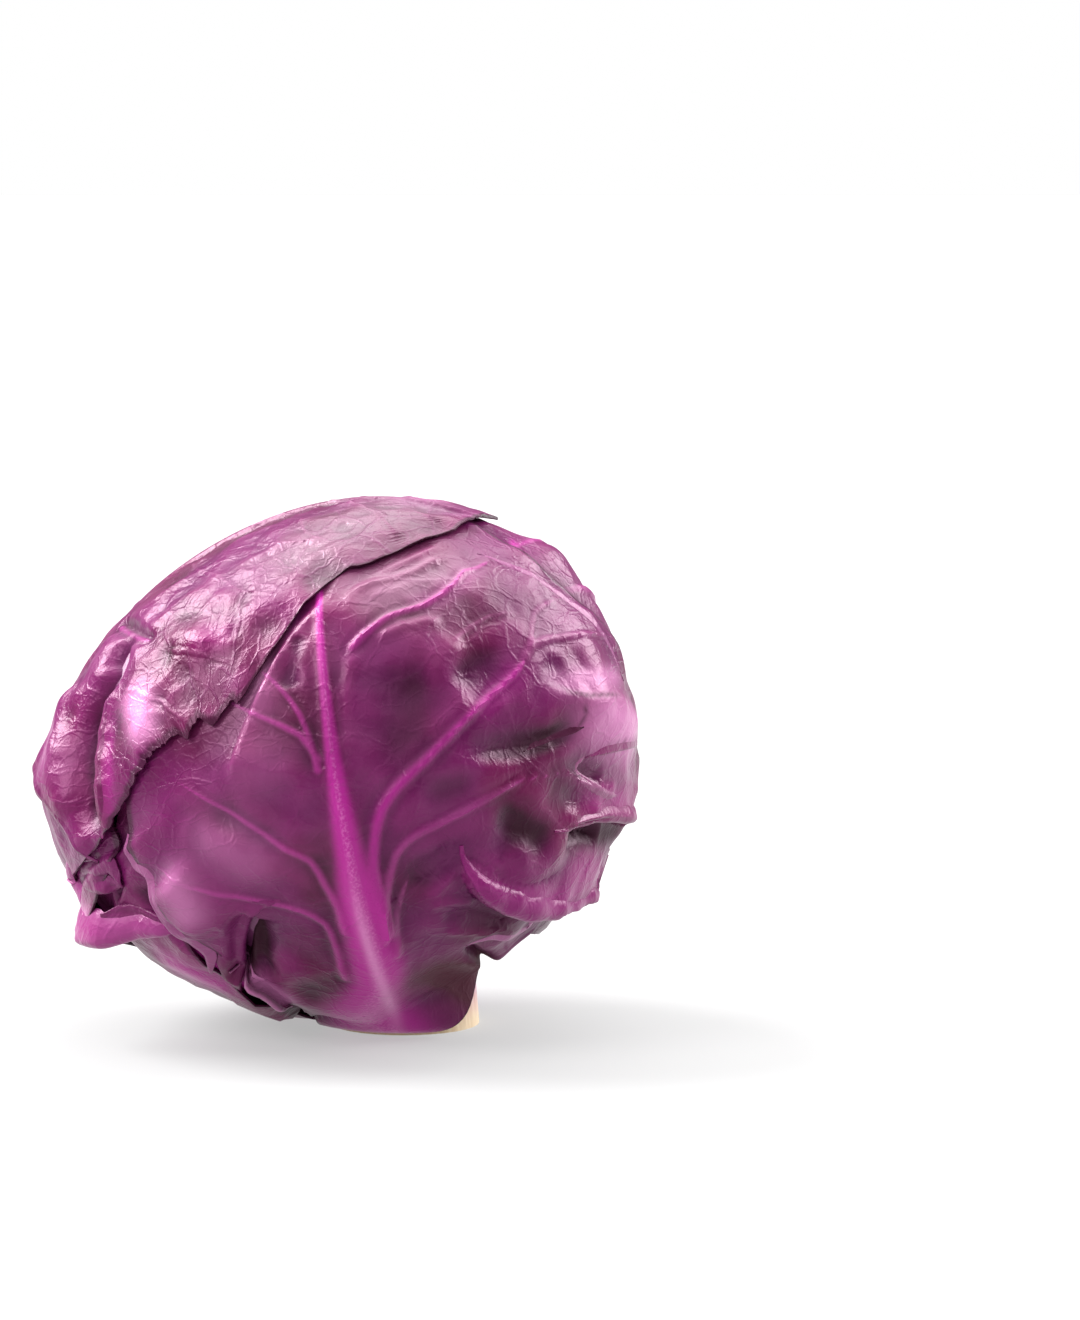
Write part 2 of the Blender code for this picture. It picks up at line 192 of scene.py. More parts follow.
def smooth(low, high, x):
    """0 up to low, 1 from high on, and an even slope between them."""
    t = np.clip((x - low) / (high - low), 0, 1)
    return t * t * (3 - 2 * t)


def to_direction(facing, along, across):
    """Unit vectors from a leaf's angles in degrees."""
    f = radians(facing)
    outward = sin(f) * SIDE + cos(f) * FRONT
    rightward = cos(f) * SIDE - sin(f) * FRONT
    a, b = np.radians(along)[..., None], np.radians(across)[..., None]
    return np.cos(b) * (-np.cos(a) * UP + np.sin(a) * outward) + np.sin(b) * rightward


def to_angles(facing, direction):
    """The reverse of to_direction. along runs from -90 to 270, so it has no jump at the crown."""
    f = radians(facing)
    outward = direction @ (sin(f) * SIDE + cos(f) * FRONT)
    rightward = direction @ (cos(f) * SIDE - sin(f) * FRONT)
    along = np.degrees(np.arctan2(outward, -(direction @ UP)))
    along = np.where(along < -90, along + 360, along)
    return along, np.degrees(np.arcsin(np.clip(rightward, -1, 1)))


def stem_angle(direction):
    """How far a direction lies from the stem's, in degrees."""
    return np.degrees(np.arccos(np.clip(-(direction @ UP), -1, 1)))


def swell(forms, direction):
    """Height of a list of rounded swellings and hollows, in metres."""
    height = np.zeros(direction.shape[:-1])
    for along, facing, size, top in forms:
        middle = to_direction(facing, np.array(along, float), np.array(0.0))
        away = np.degrees(np.arccos(np.clip(direction @ middle, -1, 1)))
        height = height + top * MM * np.exp(-((away / size) ** 2))
    return height


def head_radius(direction):
    """Distance from the head's middle to the outside of its outermost leaves."""
    flat = direction @ AXES.T / np.array([HALF_WIDTH, HALF_WIDTH, HALF_HEIGHT])
    return 1 / np.linalg.norm(flat, axis=-1) + swell(HEAD_FORMS, direction)


def down_to_surface(direction, radius):
    """Brings the feet of the leaves out from the head's round, down to the surface."""
    level = (MIDDLE[2] - FOOT_HEIGHT) / np.maximum(-direction[..., 2], 0.2)
    share = 1 - smooth(*FOOT_ANGLES, stem_angle(direction))
    return radius + np.maximum(level - radius, 0) * share


SEEN_ROUNDS = 8


def seen(pixels):
    """Directions of the head's points that show at these pixels, given as x, y, x, y and so on."""
    found = []
    for pixel in np.reshape(pixels, (-1, 2)):
        view = sight_line(pixel)
        view = view / np.linalg.norm(view)
        start = EYE - MIDDLE
        nearest = -(start @ view)
        radius = HALF_WIDTH
        for _ in range(SEEN_ROUNDS):
            off_axis = start @ start - nearest**2
            point = start + view * (nearest - np.sqrt(max(radius**2 - off_axis, 0)))
            direction = point / np.linalg.norm(point)
            radius = down_to_surface(direction, head_radius(direction))
        found.append(direction)
    return np.array(found)


class Leaf:
    """Where one wrapper leaf lies, in degrees on the head.

    foot is its attachment round the stem and neck the circle above it, each as the leaf's left
    end, its middle and its right end round the stem. left and right are the margins and midrib
    the middle line, as (along, across). ribs are (start on the midrib, end on the left margin,
    end on the right margin), all along.
    """

    def __init__(self, name, facing, base, foot, neck, left, right, midrib, ribs):
        self.name = name
        self.facing = facing
        self.base = base
        self.rings = [(base, foot)] + ([(NECK_ANGLE, neck)] if neck else [])
        ends = [[ring_angles(angle, row[i]) for angle, row in self.rings] for i in range(3)]
        self.left = np.array([*ends[0], *left], float)
        self.midrib = np.array([*ends[1], *midrib], float)
        self.right = np.array([*ends[2], *right], float)
        self.ribs = ribs
        self.tip = self.midrib[-1, 0]


def ring_angles(from_stem, facing):
    """(along, across) of a point that far from the stem and that far round it."""
    t, f = radians(from_stem), np.radians(facing)
    along = np.arctan2(np.sin(t) * np.cos(f), np.cos(t))
    return np.degrees(along), np.degrees(np.arcsin(np.sin(t) * np.sin(f)))


def through(knots, x):
    """A smooth curve through knots of (x, y), level past both ends."""
    kx, ky = knots[:, 0], knots[:, 1]
    slope = np.gradient(ky, kx)
    x = np.clip(x, kx[0], kx[-1])
    i = np.clip(np.searchsorted(kx, x, side="right") - 1, 0, len(kx) - 2)
    span = kx[i + 1] - kx[i]
    t = (x - kx[i]) / span
    return (
        ky[i] * (1 + 2 * t) * (1 - t) ** 2
        + slope[i] * span * t * (1 - t) ** 2
        + ky[i + 1] * t * t * (3 - 2 * t)
        + slope[i + 1] * span * t * t * (t - 1)
    )


def margin_distance(leaf, direction):
    """How far inside a leaf's outline a direction lies, in metres, and below 0 outside it."""
    along, across = to_angles(leaf.facing, direction)
    sides = np.minimum(through(leaf.right, along) - across, across - through(leaf.left, along))
    to_tip = (leaf.tip - along) * np.cos(np.radians(across))
    from_foot = np.minimum(stem_angle(direction) - leaf.base, along + 5)
    inside = np.minimum(np.minimum(sides, to_tip), from_foot)
    return inside * HALF_WIDTH * pi / 180


def cover(leaf, direction, reach):
    """1 under a leaf and close round it, falling to 0 a little way outside its margin."""
    narrow = np.sin(np.radians(np.clip(stem_angle(direction), 18, 90)))
    return smooth(-reach[1], -reach[0], margin_distance(leaf, direction) / narrow)


# The share of a leaf's rows from its foot to its neck and from there to its first rib, and the
# bend of its rows: below 1, ribs leave the midrib steeply and flatten out.
RING_ROWS = 0.05
RIB_SWEEP = 0.72


def leaf_grid(leaf, rows, columns, torn):
    """The leaf's angles as a net whose rows sweep up along the side ribs and whose last columns
    follow the margins, and how far each point lies from the side margin, in mm."""
    up = np.linspace(0, 1, rows)[:, None]
    left_out, right_out = np.linspace(-1, 0, columns[0])[:-1], np.linspace(0, 1, columns[1])
    out = np.concatenate([left_out, right_out])[None, :]
    stops = np.array([*leaf.ribs, (leaf.tip,) * 3], float)
    reached = np.concatenate([[0], np.cumsum(np.diff(stops[:, 0]) + 2)])
    steps = [RING_ROWS * i for i in range(len(leaf.rings) + 1)]
    free = np.clip((up - steps[-1]) / (1 - steps[-1]), 0, 1) * reached[-1]
    start, left_end, right_end = (np.interp(free, reached, stops[:, i]) for i in range(3))
    end = np.where(out < 0, left_end, right_end)
    edge = np.where(out < 0, through(leaf.left, end), through(leaf.right, end))
    edge = edge + torn / MM_PER_DEGREE * ragged(end, leaf.facing) * np.sign(out)
    far = np.abs(out)
    along = start + (end - start) * far**RIB_SWEEP
    middle = through(leaf.midrib, start)
    across = middle + (edge - middle) * far
    rim = np.abs(edge - middle) * (1 - far) * MM_PER_DEGREE * np.cos(np.radians(across))
    rim = np.minimum(rim, np.abs(leaf.tip - along) * MM_PER_DEGREE)
    circles = [ring_angles(angle, ring_facing(row, out)) for angle, row in leaf.rings]
    circles.append((along[:1].copy(), across[:1].copy()))
    for i in range(len(leaf.rings)):
        t = (up - steps[i]) / (steps[i + 1] - steps[i])
        here = (up >= steps[i]) & (up < steps[i + 1])
        along = np.where(here, circles[i][0] + (circles[i + 1][0] - circles[i][0]) * t, along)
        across = np.where(here, circles[i][1] + (circles[i + 1][1] - circles[i][1]) * t, across)
    return along, across, rim


def ring_facing(ring, out):
    """How far round the stem a ring's points lie, by their place from -1 to 1 across the leaf."""
    left, middle, right = ring
    return np.where(out < 0, middle + (left - middle) * -out, middle + (right - middle) * out)


def ragged(x, seed):
    """Uneven waves between -1 and 1 along a margin, in steps of a few millimetres."""
    way = np.radians(x)[..., None] * np.array([1.0, 0.0, 0.0])
    return mottle(way, 13, seed) + 0.7 * mottle(way, 5.5, seed) + 0.5 * mottle(way, 2.6, seed)


LATTICE = np.random.default_rng(7)
LATTICE_ORDER = LATTICE.permutation(256)
LATTICE_HEIGHT = LATTICE.uniform(-1, 1, 256)


def mottle(direction, size, seed):
    """Smooth random heights between -1 and 1, in lumps about that many millimetres apart."""
    cell = direction * (HALF_WIDTH / MM / size) + 40.0 + seed * 7.7
    low = np.floor(cell).astype(int)
    t = cell - low
    t = t * t * (3 - 2 * t)
    height = np.zeros(direction.shape[:-1])
    for corner in range(8):
        step = np.array([corner & 1, corner >> 1 & 1, corner >> 2])
        x, y, z = np.moveaxis((low + step) & 255, -1, 0)
        value = LATTICE_HEIGHT[LATTICE_ORDER[(LATTICE_ORDER[(LATTICE_ORDER[x] + y) & 255] + z) & 255]]
        height += np.prod(np.where(step, t, 1 - t), axis=-1) * value
    return height


class Line:
    """A rib, a groove, a fold or a stroke of colour on the head: a smooth line along its way,
    which is pixels of the photograph, as x, y, x, y and so on, or an array of directions.

    width is its half-width at its start and end, or one for both, and height its height over the
    blade, in mm.
    kind is "ridge" for a rib or, below 0, a groove; "vein" for a thin rib with a furrow on either
    side; and "fold" for a step up to its left side, seen from outside, that dies away over reach
    mm. lean pushes the crest of a fold that many mm over its low side. fade is the share of the
    line over which it dies away at its start and end, or one for both, and tone the colour of its
    crest, from 0, pale, to 1, magenta, or None for the blade's own.
    """

    def __init__(self, kind, way, width, height, reach=0.0, lean=0.0, fade=0.15, tone=None):
        self.kind = kind
        self.points = rounded(seen(way) if isinstance(way, tuple) else way)
        self.width = np.broadcast_to(width, 2) * MM
        self.height = height * MM
        self.reach = reach * MM
        self.lean = lean * MM
        self.fade = np.broadcast_to(fade, 2)
        self.tone = tone


def rounded(points):
    """Extra points on a smooth line through these, about 3 mm apart."""
    points = np.asarray(points, float)
    ghost = np.concatenate([[2 * points[0] - points[1]], points, [2 * points[-1] - points[-2]]])
    line = []
    for p0, p1, p2, p3 in zip(ghost, ghost[1:], ghost[2:], ghost[3:]):
        count = max(1, int(np.linalg.norm(p2 - p1) * HALF_WIDTH / (3 * MM)))
        for t in np.arange(count) / count:
            bend = 2 * p0 - 5 * p1 + 4 * p2 - p3
            twist = 3 * p1 - p0 - 3 * p2 + p3
            line.append(0.5 * (2 * p1 + (p2 - p0) * t + bend * t**2 + twist * t**3))
    line.append(points[-1])
    line = np.array(line)
    return line / np.linalg.norm(line, axis=-1)[:, None]


def off_line(line, direction, reach):
    """For the directions within reach of a line: which they are, how far off it they lie in
    metres (positive on its left), how far along it, and the way across it to its right."""
    middle = line.points.mean(0)
    size = np.linalg.norm(line.points - middle, axis=1).max() + reach / HALF_WIDTH
    near = np.nonzero(np.linalg.norm(direction - middle, axis=1) < size)[0]
    at = direction[near]
    start, step = line.points[:-1], np.diff(line.points, axis=0)
    share = np.einsum("nsk,sk->ns", at[:, None] - start, step) / np.einsum("sk,sk->s", step, step)
    share = np.clip(share, 0, 1)
    gap = at[:, None] - start - share[..., None] * step
    which = np.argmin(np.einsum("nsk,nsk->ns", gap, gap), axis=1)
    rows = np.arange(len(near))
    gap, share, step = gap[rows, which], share[rows, which], step[which]
    left = np.cross(at, step)
    left = left / np.linalg.norm(left, axis=1)[:, None]
    off = np.linalg.norm(gap, axis=1) * np.where(np.einsum("nk,nk->n", gap, left) < 0, -1, 1)
    return near, off * HALF_WIDTH, (which + share) / (len(line.points) - 1), -left


def line_ends(line, along):
    """1 along a line, falling to 0 at those of its ends that die away."""
    ends = np.ones(len(along))
    if line.fade[0]:
        ends = ends * smooth(0, line.fade[0], along)
    if line.fade[1]:
        ends = ends * (1 - smooth(1 - line.fade[1], 1, along))
    return ends


# A vein's furrows: how far off it and how wide, in its half-widths, and the share of its height.
FURROW_OFF = 2.0
FURROW_WIDTH = 1.1
FURROW_DEPTH = 0.35


def draw_lines(lines, direction):
    """The height of all the lines and how far they push the blade sideways, in metres."""
    shape = direction.shape[:-1]
    flat = direction.reshape(-1, 3)
    height = np.zeros(len(flat))
    push = np.zeros_like(flat)
    for line in lines:
        near, off, along, right = off_line(line, flat, max(4 * line.width.max(), 2.5 * line.reach))
        half = line.width[0] + (line.width[1] - line.width[0]) * along
        if line.kind == "fold":
            step = smooth(-half, half, off)
            profile = step * np.exp(-((np.maximum(off, 0) / line.reach) ** 2))
            crest = step * np.exp(-((np.maximum(off, 0) / (2.5 * half)) ** 2))
            push[near] += right * (line.lean * crest * line_ends(line, along))[:, None]
        elif line.kind == "vein":
            side = (np.abs(off) / half - FURROW_OFF) / FURROW_WIDTH
            profile = np.exp(-((off / half) ** 2)) - FURROW_DEPTH * np.exp(-(side**2))
        else:
            profile = np.exp(-((off / half) ** 2))
        height[near] += line.height * profile * line_ends(line, along)
    return height.reshape(shape), push.reshape(*shape, 3)


# The midrib's half-width and height in mm, by the share of the way up to the leaf's tip.
MIDRIB_SHARES = (0.12, 0.24, 0.375, 0.46, 0.56, 0.62, 0.73, 1.0)
MIDRIB_WIDTHS = (17.0, 9.0, 7.1, 4.5, 2.7, 2.0, 1.4, 1.0)
MIDRIB_HEIGHTS = (4.0, 4.0, 3.6, 2.6, 1.5, 1.1, 0.8, 0.5)
# The waves of a blade's margin: how far in they reach, in mm, and their length in degrees.
WAVE_REACH = 13
WAVE_LENGTH = 27


class Blade:
    """How a leaf's blade is shaped and coloured. lines are its ribs and folds, and dents its
    swellings, like the head's. midrib scales the midrib's height, and wave is the height of the
    margin's waves and puff that of the lumps between the veins, in mm. paint is its strokes of
    colour, and rib_tone how magenta its midrib is. What lies on it presses it flat."""

    def __init__(self, leaf, skin, lines, dents=(), midrib=1.0, wave=1.4, puff=0.45, paint=(),
                 rib_tone=1.0):
        self.leaf = leaf
        self.skin = skin
        self.lines = lines
        self.dents = dents
        self.midrib = midrib
        self.wave = wave
        self.puff = puff
        self.paint = paint
        self.rib_tone = rib_tone
        self.over = list(laid)
        self.presses = list(presses)

    def surface(self, direction):
        """Where the blade's outside lies in a direction, and the midrib's share there."""
        leaf = self.leaf
        along, across = to_angles(leaf.facing, direction)
        inside = np.maximum(margin_distance(leaf, direction), 0)
        share = np.clip(along / leaf.tip, 0, 1)
        half = MM * np.interp(share, MIDRIB_SHARES, MIDRIB_WIDTHS)
        off = np.radians(across - through(leaf.midrib, along)) * HALF_WIDTH
        rib = np.exp(-((off / half) ** 2))
        relief = self.midrib * rib * MM * np.interp(share, MIDRIB_SHARES, MIDRIB_HEIGHTS)
        margin = 1 - smooth(0, WAVE_REACH * MM, inside)
        swing = 0.5 + 0.5 * np.sin(along * 2 * pi / WAVE_LENGTH + radians(leaf.facing) * 3)
        relief += self.wave * MM * margin * (swing + 0.5 * mottle(direction, 7, leaf.facing))
        lumps = mottle(direction, 9, 1) + 0.5 * mottle(direction, 4.5, 2)
        crests = np.abs(mottle(direction, 15, 3)) + 0.5 * np.abs(mottle(direction, 7, 4))
        relief += self.puff * MM * (lumps - 2.0 * crests) * (1 - rib)
        lifted, push = draw_lines(self.lines, direction)
        relief += swell(self.dents, direction) + lifted
        depth = np.zeros(direction.shape[:-1])
        free = np.ones(direction.shape[:-1])
        for other in self.over:
            depth = depth + LEAF_STEP * cover(other, direction, STEP_REACH)
            free = free * (1 - cover(other, direction, RELIEF_REACH))
        pressed = draw_lines(self.presses, direction)[0] * (1 - free)
        radius = down_to_surface(direction, head_radius(direction) - depth + relief * free + pressed)
        return MIDDLE + radius[..., None] * direction + push * free[..., None], radius, rib


# The leaves laid so far, from the outermost in, and the deep hollows that go on below them.
laid = []
presses = []
DEEP_HOLLOW = -1.0 * MM
BLADE_THICKNESS = 0.6
# The share of a stroke of colour over which it dies away at each end.
STROKE_FADE = 0.35
# How far off a vein a point counts as clear of it, in the vein's half-widths.
CLEAR_OF_VEINS = 4.0


def lay_leaf(blade, rows, columns, torn=0.0):
    """Models a leaf under all the leaves laid before it. columns are those of its left and right
    half, and torn is the height of its margin's tears in mm."""
    leaf = blade.leaf
    along, across, rim = leaf_grid(leaf, rows, columns, torn)
    direction = to_direction(leaf.facing, along, across)
    points, radius, rib = blade.surface(direction)
    laid.append(leaf)
    presses.extend(line for line in blade.lines if line.height < DEEP_HOLLOW)
    leaf_map = np.stack([np.radians(across), np.radians(along)], -1) * HALF_WIDTH / MM
    looks = vein_looks(blade.lines, direction)
    looks["rib"] = rib * blade.rib_tone
    for stroke in blade.paint:
        flat = looks.setdefault(stroke.kind, np.zeros(direction.shape[:-1])).reshape(-1)
        near, off, far, _ = off_line(stroke, direction.reshape(-1, 3), 3 * stroke.width.max())
        half = stroke.width[0] + (stroke.width[1] - stroke.width[0]) * far
        ends = smooth(0, STROKE_FADE, far) * (1 - smooth(1 - STROKE_FADE, 1, far))
        flat[near] += stroke.height / MM * np.exp(-((off / half) ** 2)) * ends
    # How far each point stands proud of those round it, which the skin reads to paint shade into the
    # hollows.
    looks["crown"] = crowning(radius)
    looks["rim"] = rim
    piece = net_object(leaf.name + "_blade", points, leaf_map, looks)
    give_thickness(piece, BLADE_THICKNESS)
    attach(piece, "root")
    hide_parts(leaf.name)
    piece.data.materials.append(blade.skin)


def vein_looks(lines, direction):
    """For the colour of thin veins: how far off the nearest one each point lies, in half-widths,
    and the tone of its crest."""
    flat = direction.reshape(-1, 3)
    looks = {"near": np.full(len(flat), CLEAR_OF_VEINS), "tone": np.zeros(len(flat))}
    for line in lines:
        if line.tone is None:
            continue
        which, off, along, _ = off_line(line, flat, 4 * line.width.max())
        half = line.width[0] + (line.width[1] - line.width[0]) * along
        off = np.abs(off) / half / np.maximum(line_ends(line, along), 0.05)
        off = np.minimum(off, CLEAR_OF_VEINS)
        nearer = off < looks["near"][which]
        which = which[nearer]
        looks["near"][which] = off[nearer]
        looks["tone"][which] = line.tone
    return {name: values.reshape(direction.shape[:-1]) for name, values in looks.items()}


def strokes(**rows):
    """Strokes of colour, each as (way, half-widths in mm, strength), by the look they paint."""
    return [Line(look, *row) for look, many in rows.items() for row in many]


# What a skin reads at each point of a blade: measures of its shape, and layers of colour, among them
# painted highlights, painted shade, painted sheen and painted glow.
LOOKS = ("rib", "near", "tone", "crown", "rim", "wax", "pale", "deep", "brown", "magenta")


def net_object(name, points, leaf_map, looks):
    """A grid bent onto a net of points, with its map in mm and the values its skin reads."""
    rows, columns = points.shape[:2]
    bpy.ops.object.select_all(action="DESELECT")
    bpy.ops.mesh.primitive_grid_add(x_subdivisions=columns - 1, y_subdivisions=rows - 1, size=2)
    piece = bpy.context.object
    piece.name = name
    mesh = piece.data
    spots = np.empty(len(mesh.vertices) * 3)
    mesh.vertices.foreach_get("co", spots)
    column = np.rint((spots[0::3] + 1) / 2 * (columns - 1)).astype(int)
    row = np.rint((spots[1::3] + 1) / 2 * (rows - 1)).astype(int)
    mesh.vertices.foreach_set("co", points[row, column].ravel())
    for look in LOOKS:
        layer = mesh.attributes.new(look, "FLOAT", "POINT")
        values = looks.get(look, np.zeros((rows, columns)))
        layer.data.foreach_set("value", np.ascontiguousarray(values[row, column], dtype=np.float32))
    corners = np.empty(len(mesh.loops), int)
    mesh.loops.foreach_get("vertex_index", corners)
    layer = mesh.uv_layers[0] if mesh.uv_layers else mesh.uv_layers.new(name="blade in mm")
    layer.name = "blade in mm"
    layer.data.foreach_set("uv", leaf_map[row, column][corners].ravel())
    mesh.update()
    middle_face = mesh.polygons[len(mesh.polygons) // 2]
    if np.array(middle_face.normal) @ (np.array(middle_face.center) - MIDDLE) < 0:
        bpy.ops.object.mode_set(mode="EDIT")
        bpy.ops.mesh.select_all(action="SELECT")
        bpy.ops.mesh.flip_normals()
        bpy.ops.object.mode_set(mode="OBJECT")
    return piece


# Cross-section of a margin that folds over, from its high side to its low one, as (across, out)
# in fold sizes: its lip hangs down over the low side.
LIP = (
    (-1.6, -0.12), (-1.0, 0.04), (-0.5, 0.14), (0.0, 0.16), (0.35, 0.0), (0.45, -0.4), (0.25, -0.8),
    (-0.2, -1.0),
)
FOLD_THICKNESS = 0.5
# The share of its size by which a fold swells and shrinks along its way.
FOLD_UNEVENNESS = 0.25
# A fold's size at its ends and the share of its way over which it grows there, and the numbers
# of its rows, to each 3 mm, and of its columns.
FOLD_TIP = 0.2
FOLD_GROWTH = 0.22
FOLD_ROWS = 4.5
FOLD_COLUMNS = 25


def lay_fold(name, blade, way, size, section=LIP, **paint):
    """Models a folded or rolled margin of a leaf: the section, that many mm large, swept along a
    way with its high side on the left, on the leaf's blade. paint names looks and their values."""
    line = rounded(seen(way))
    share = np.linspace(0, 1, max(24, int(len(line) * FOLD_ROWS)))
    stops = share * (len(line) - 1)
    line = np.stack([np.interp(stops, np.arange(len(line)), axis) for axis in line.T], -1)
    line = line / np.linalg.norm(line, axis=1)[:, None]
    step = np.gradient(line, axis=0)
    right = -np.cross(line, step)
    right = right / np.linalg.norm(right, axis=1)[:, None]
    across, out = np.array(section).T
    stops = np.linspace(0, len(across) - 1, FOLD_COLUMNS)
    across, out = (spline_through(values, stops) for values in (across, out))
    grown = smooth(0, FOLD_GROWTH, share) * (1 - smooth(1 - FOLD_GROWTH, 1, share))
    grown = FOLD_TIP + (1 - FOLD_TIP) * grown
    grown = (size * MM * grown * (1 + FOLD_UNEVENNESS * mottle(line, 6, size)))[:, None, None]
    high = np.minimum(across, -0.3)
    base = line[:, None] + right[:, None] * grown * high[None, :, None] / HALF_WIDTH
    base = base / np.linalg.norm(base, axis=-1)[..., None]
    base = MIDDLE + blade.surface(base)[1][..., None] * base
    over = (across - high)[None, :, None] * right[:, None] + out[None, :, None] * line[:, None]
    points = base + grown * over
    length = np.cumsum(np.linalg.norm(np.gradient(base[:, 0], axis=0), axis=1)) / MM
    leaf_map = np.stack(np.broadcast_arrays(length[:, None], across[None] * size), -1)
    looks = {
        # The section's outward height, which the skin reads to paint shade under the lip and on its low
        # side.
        "crown": np.broadcast_to(out * size * 0.4, points.shape[:2]).copy(),
        "rim": np.broadcast_to((1 - stops / stops[-1]) * 3 * size, points.shape[:2]).copy(),
        "near": np.full(points.shape[:2], CLEAR_OF_VEINS),
        **{look: np.full(points.shape[:2], value) for look, value in paint.items()},
    }
    piece = net_object(name, points, leaf_map, looks)
    give_thickness(piece, FOLD_THICKNESS)
    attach(piece, "root")
    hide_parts(blade.leaf.name)
    piece.data.materials.append(blade.skin)


def spline_through(values, stops):
    """A list of values read in between by a smooth curve."""
    knots = np.stack([np.arange(len(values)), values], -1).astype(float)
    return through(knots, stops)


SHARP_EDGE = radians(60)


def give_thickness(piece, thickness):
    """Thickens a piece inwards by that many mm and shades it smooth, but for its sharp edges."""
    skin = piece.modifiers.new("Blade", "SOLIDIFY")
    skin.thickness = thickness * MM
    skin.offset = -1
    bpy.ops.object.modifier_apply(modifier=skin.name)
    bpy.ops.object.shade_smooth_by_angle(angle=SHARP_EDGE)


# How many points of the net to either side a point's height is measured against.
CROWN_ROUND = 7


def crowning(radius):
    """How far each point of the net stands over the mean of those round it, in mm."""
    spread = radius.copy()
    for axis in (0, 1, 0, 1):
        edges = [(CROWN_ROUND, CROWN_ROUND) if i == axis else (0, 0) for i in (0, 1)]
        total = np.cumsum(np.pad(spread, edges, mode="edge"), axis=axis)
        upper = np.take(total, range(2 * CROWN_ROUND, total.shape[axis]), axis=axis)
        lower = np.take(total, range(0, total.shape[axis] - 2 * CROWN_ROUND), axis=axis)
        spread = (upper - lower) / (2 * CROWN_ROUND)
    return (radius - spread) / MM


def linear(hex_colour):
    """An sRGB hex colour as linear values for a socket."""
    parts = [int(hex_colour[i : i + 2], 16) / 255 for i in (1, 3, 5)]
    return (*[p / 12.92 if p <= 0.04045 else ((p + 0.055) / 1.055) ** 2.4 for p in parts], 1.0)


# The nodes that come often, each with its settings and the output that is read.
NOISE = ("ShaderNodeTexNoise", {}, 0)
RAMP = ("ShaderNodeMapRange", {"interpolation_type": "SMOOTHSTEP"}, 0)
TIMES = ("ShaderNodeMath", {"operation": "MULTIPLY"}, 0)
TIMES_PLUS = ("ShaderNodeMath", {"operation": "MULTIPLY_ADD"}, 0)
MIX = ("ShaderNodeMix", {"data_type": "RGBA"}, 2)


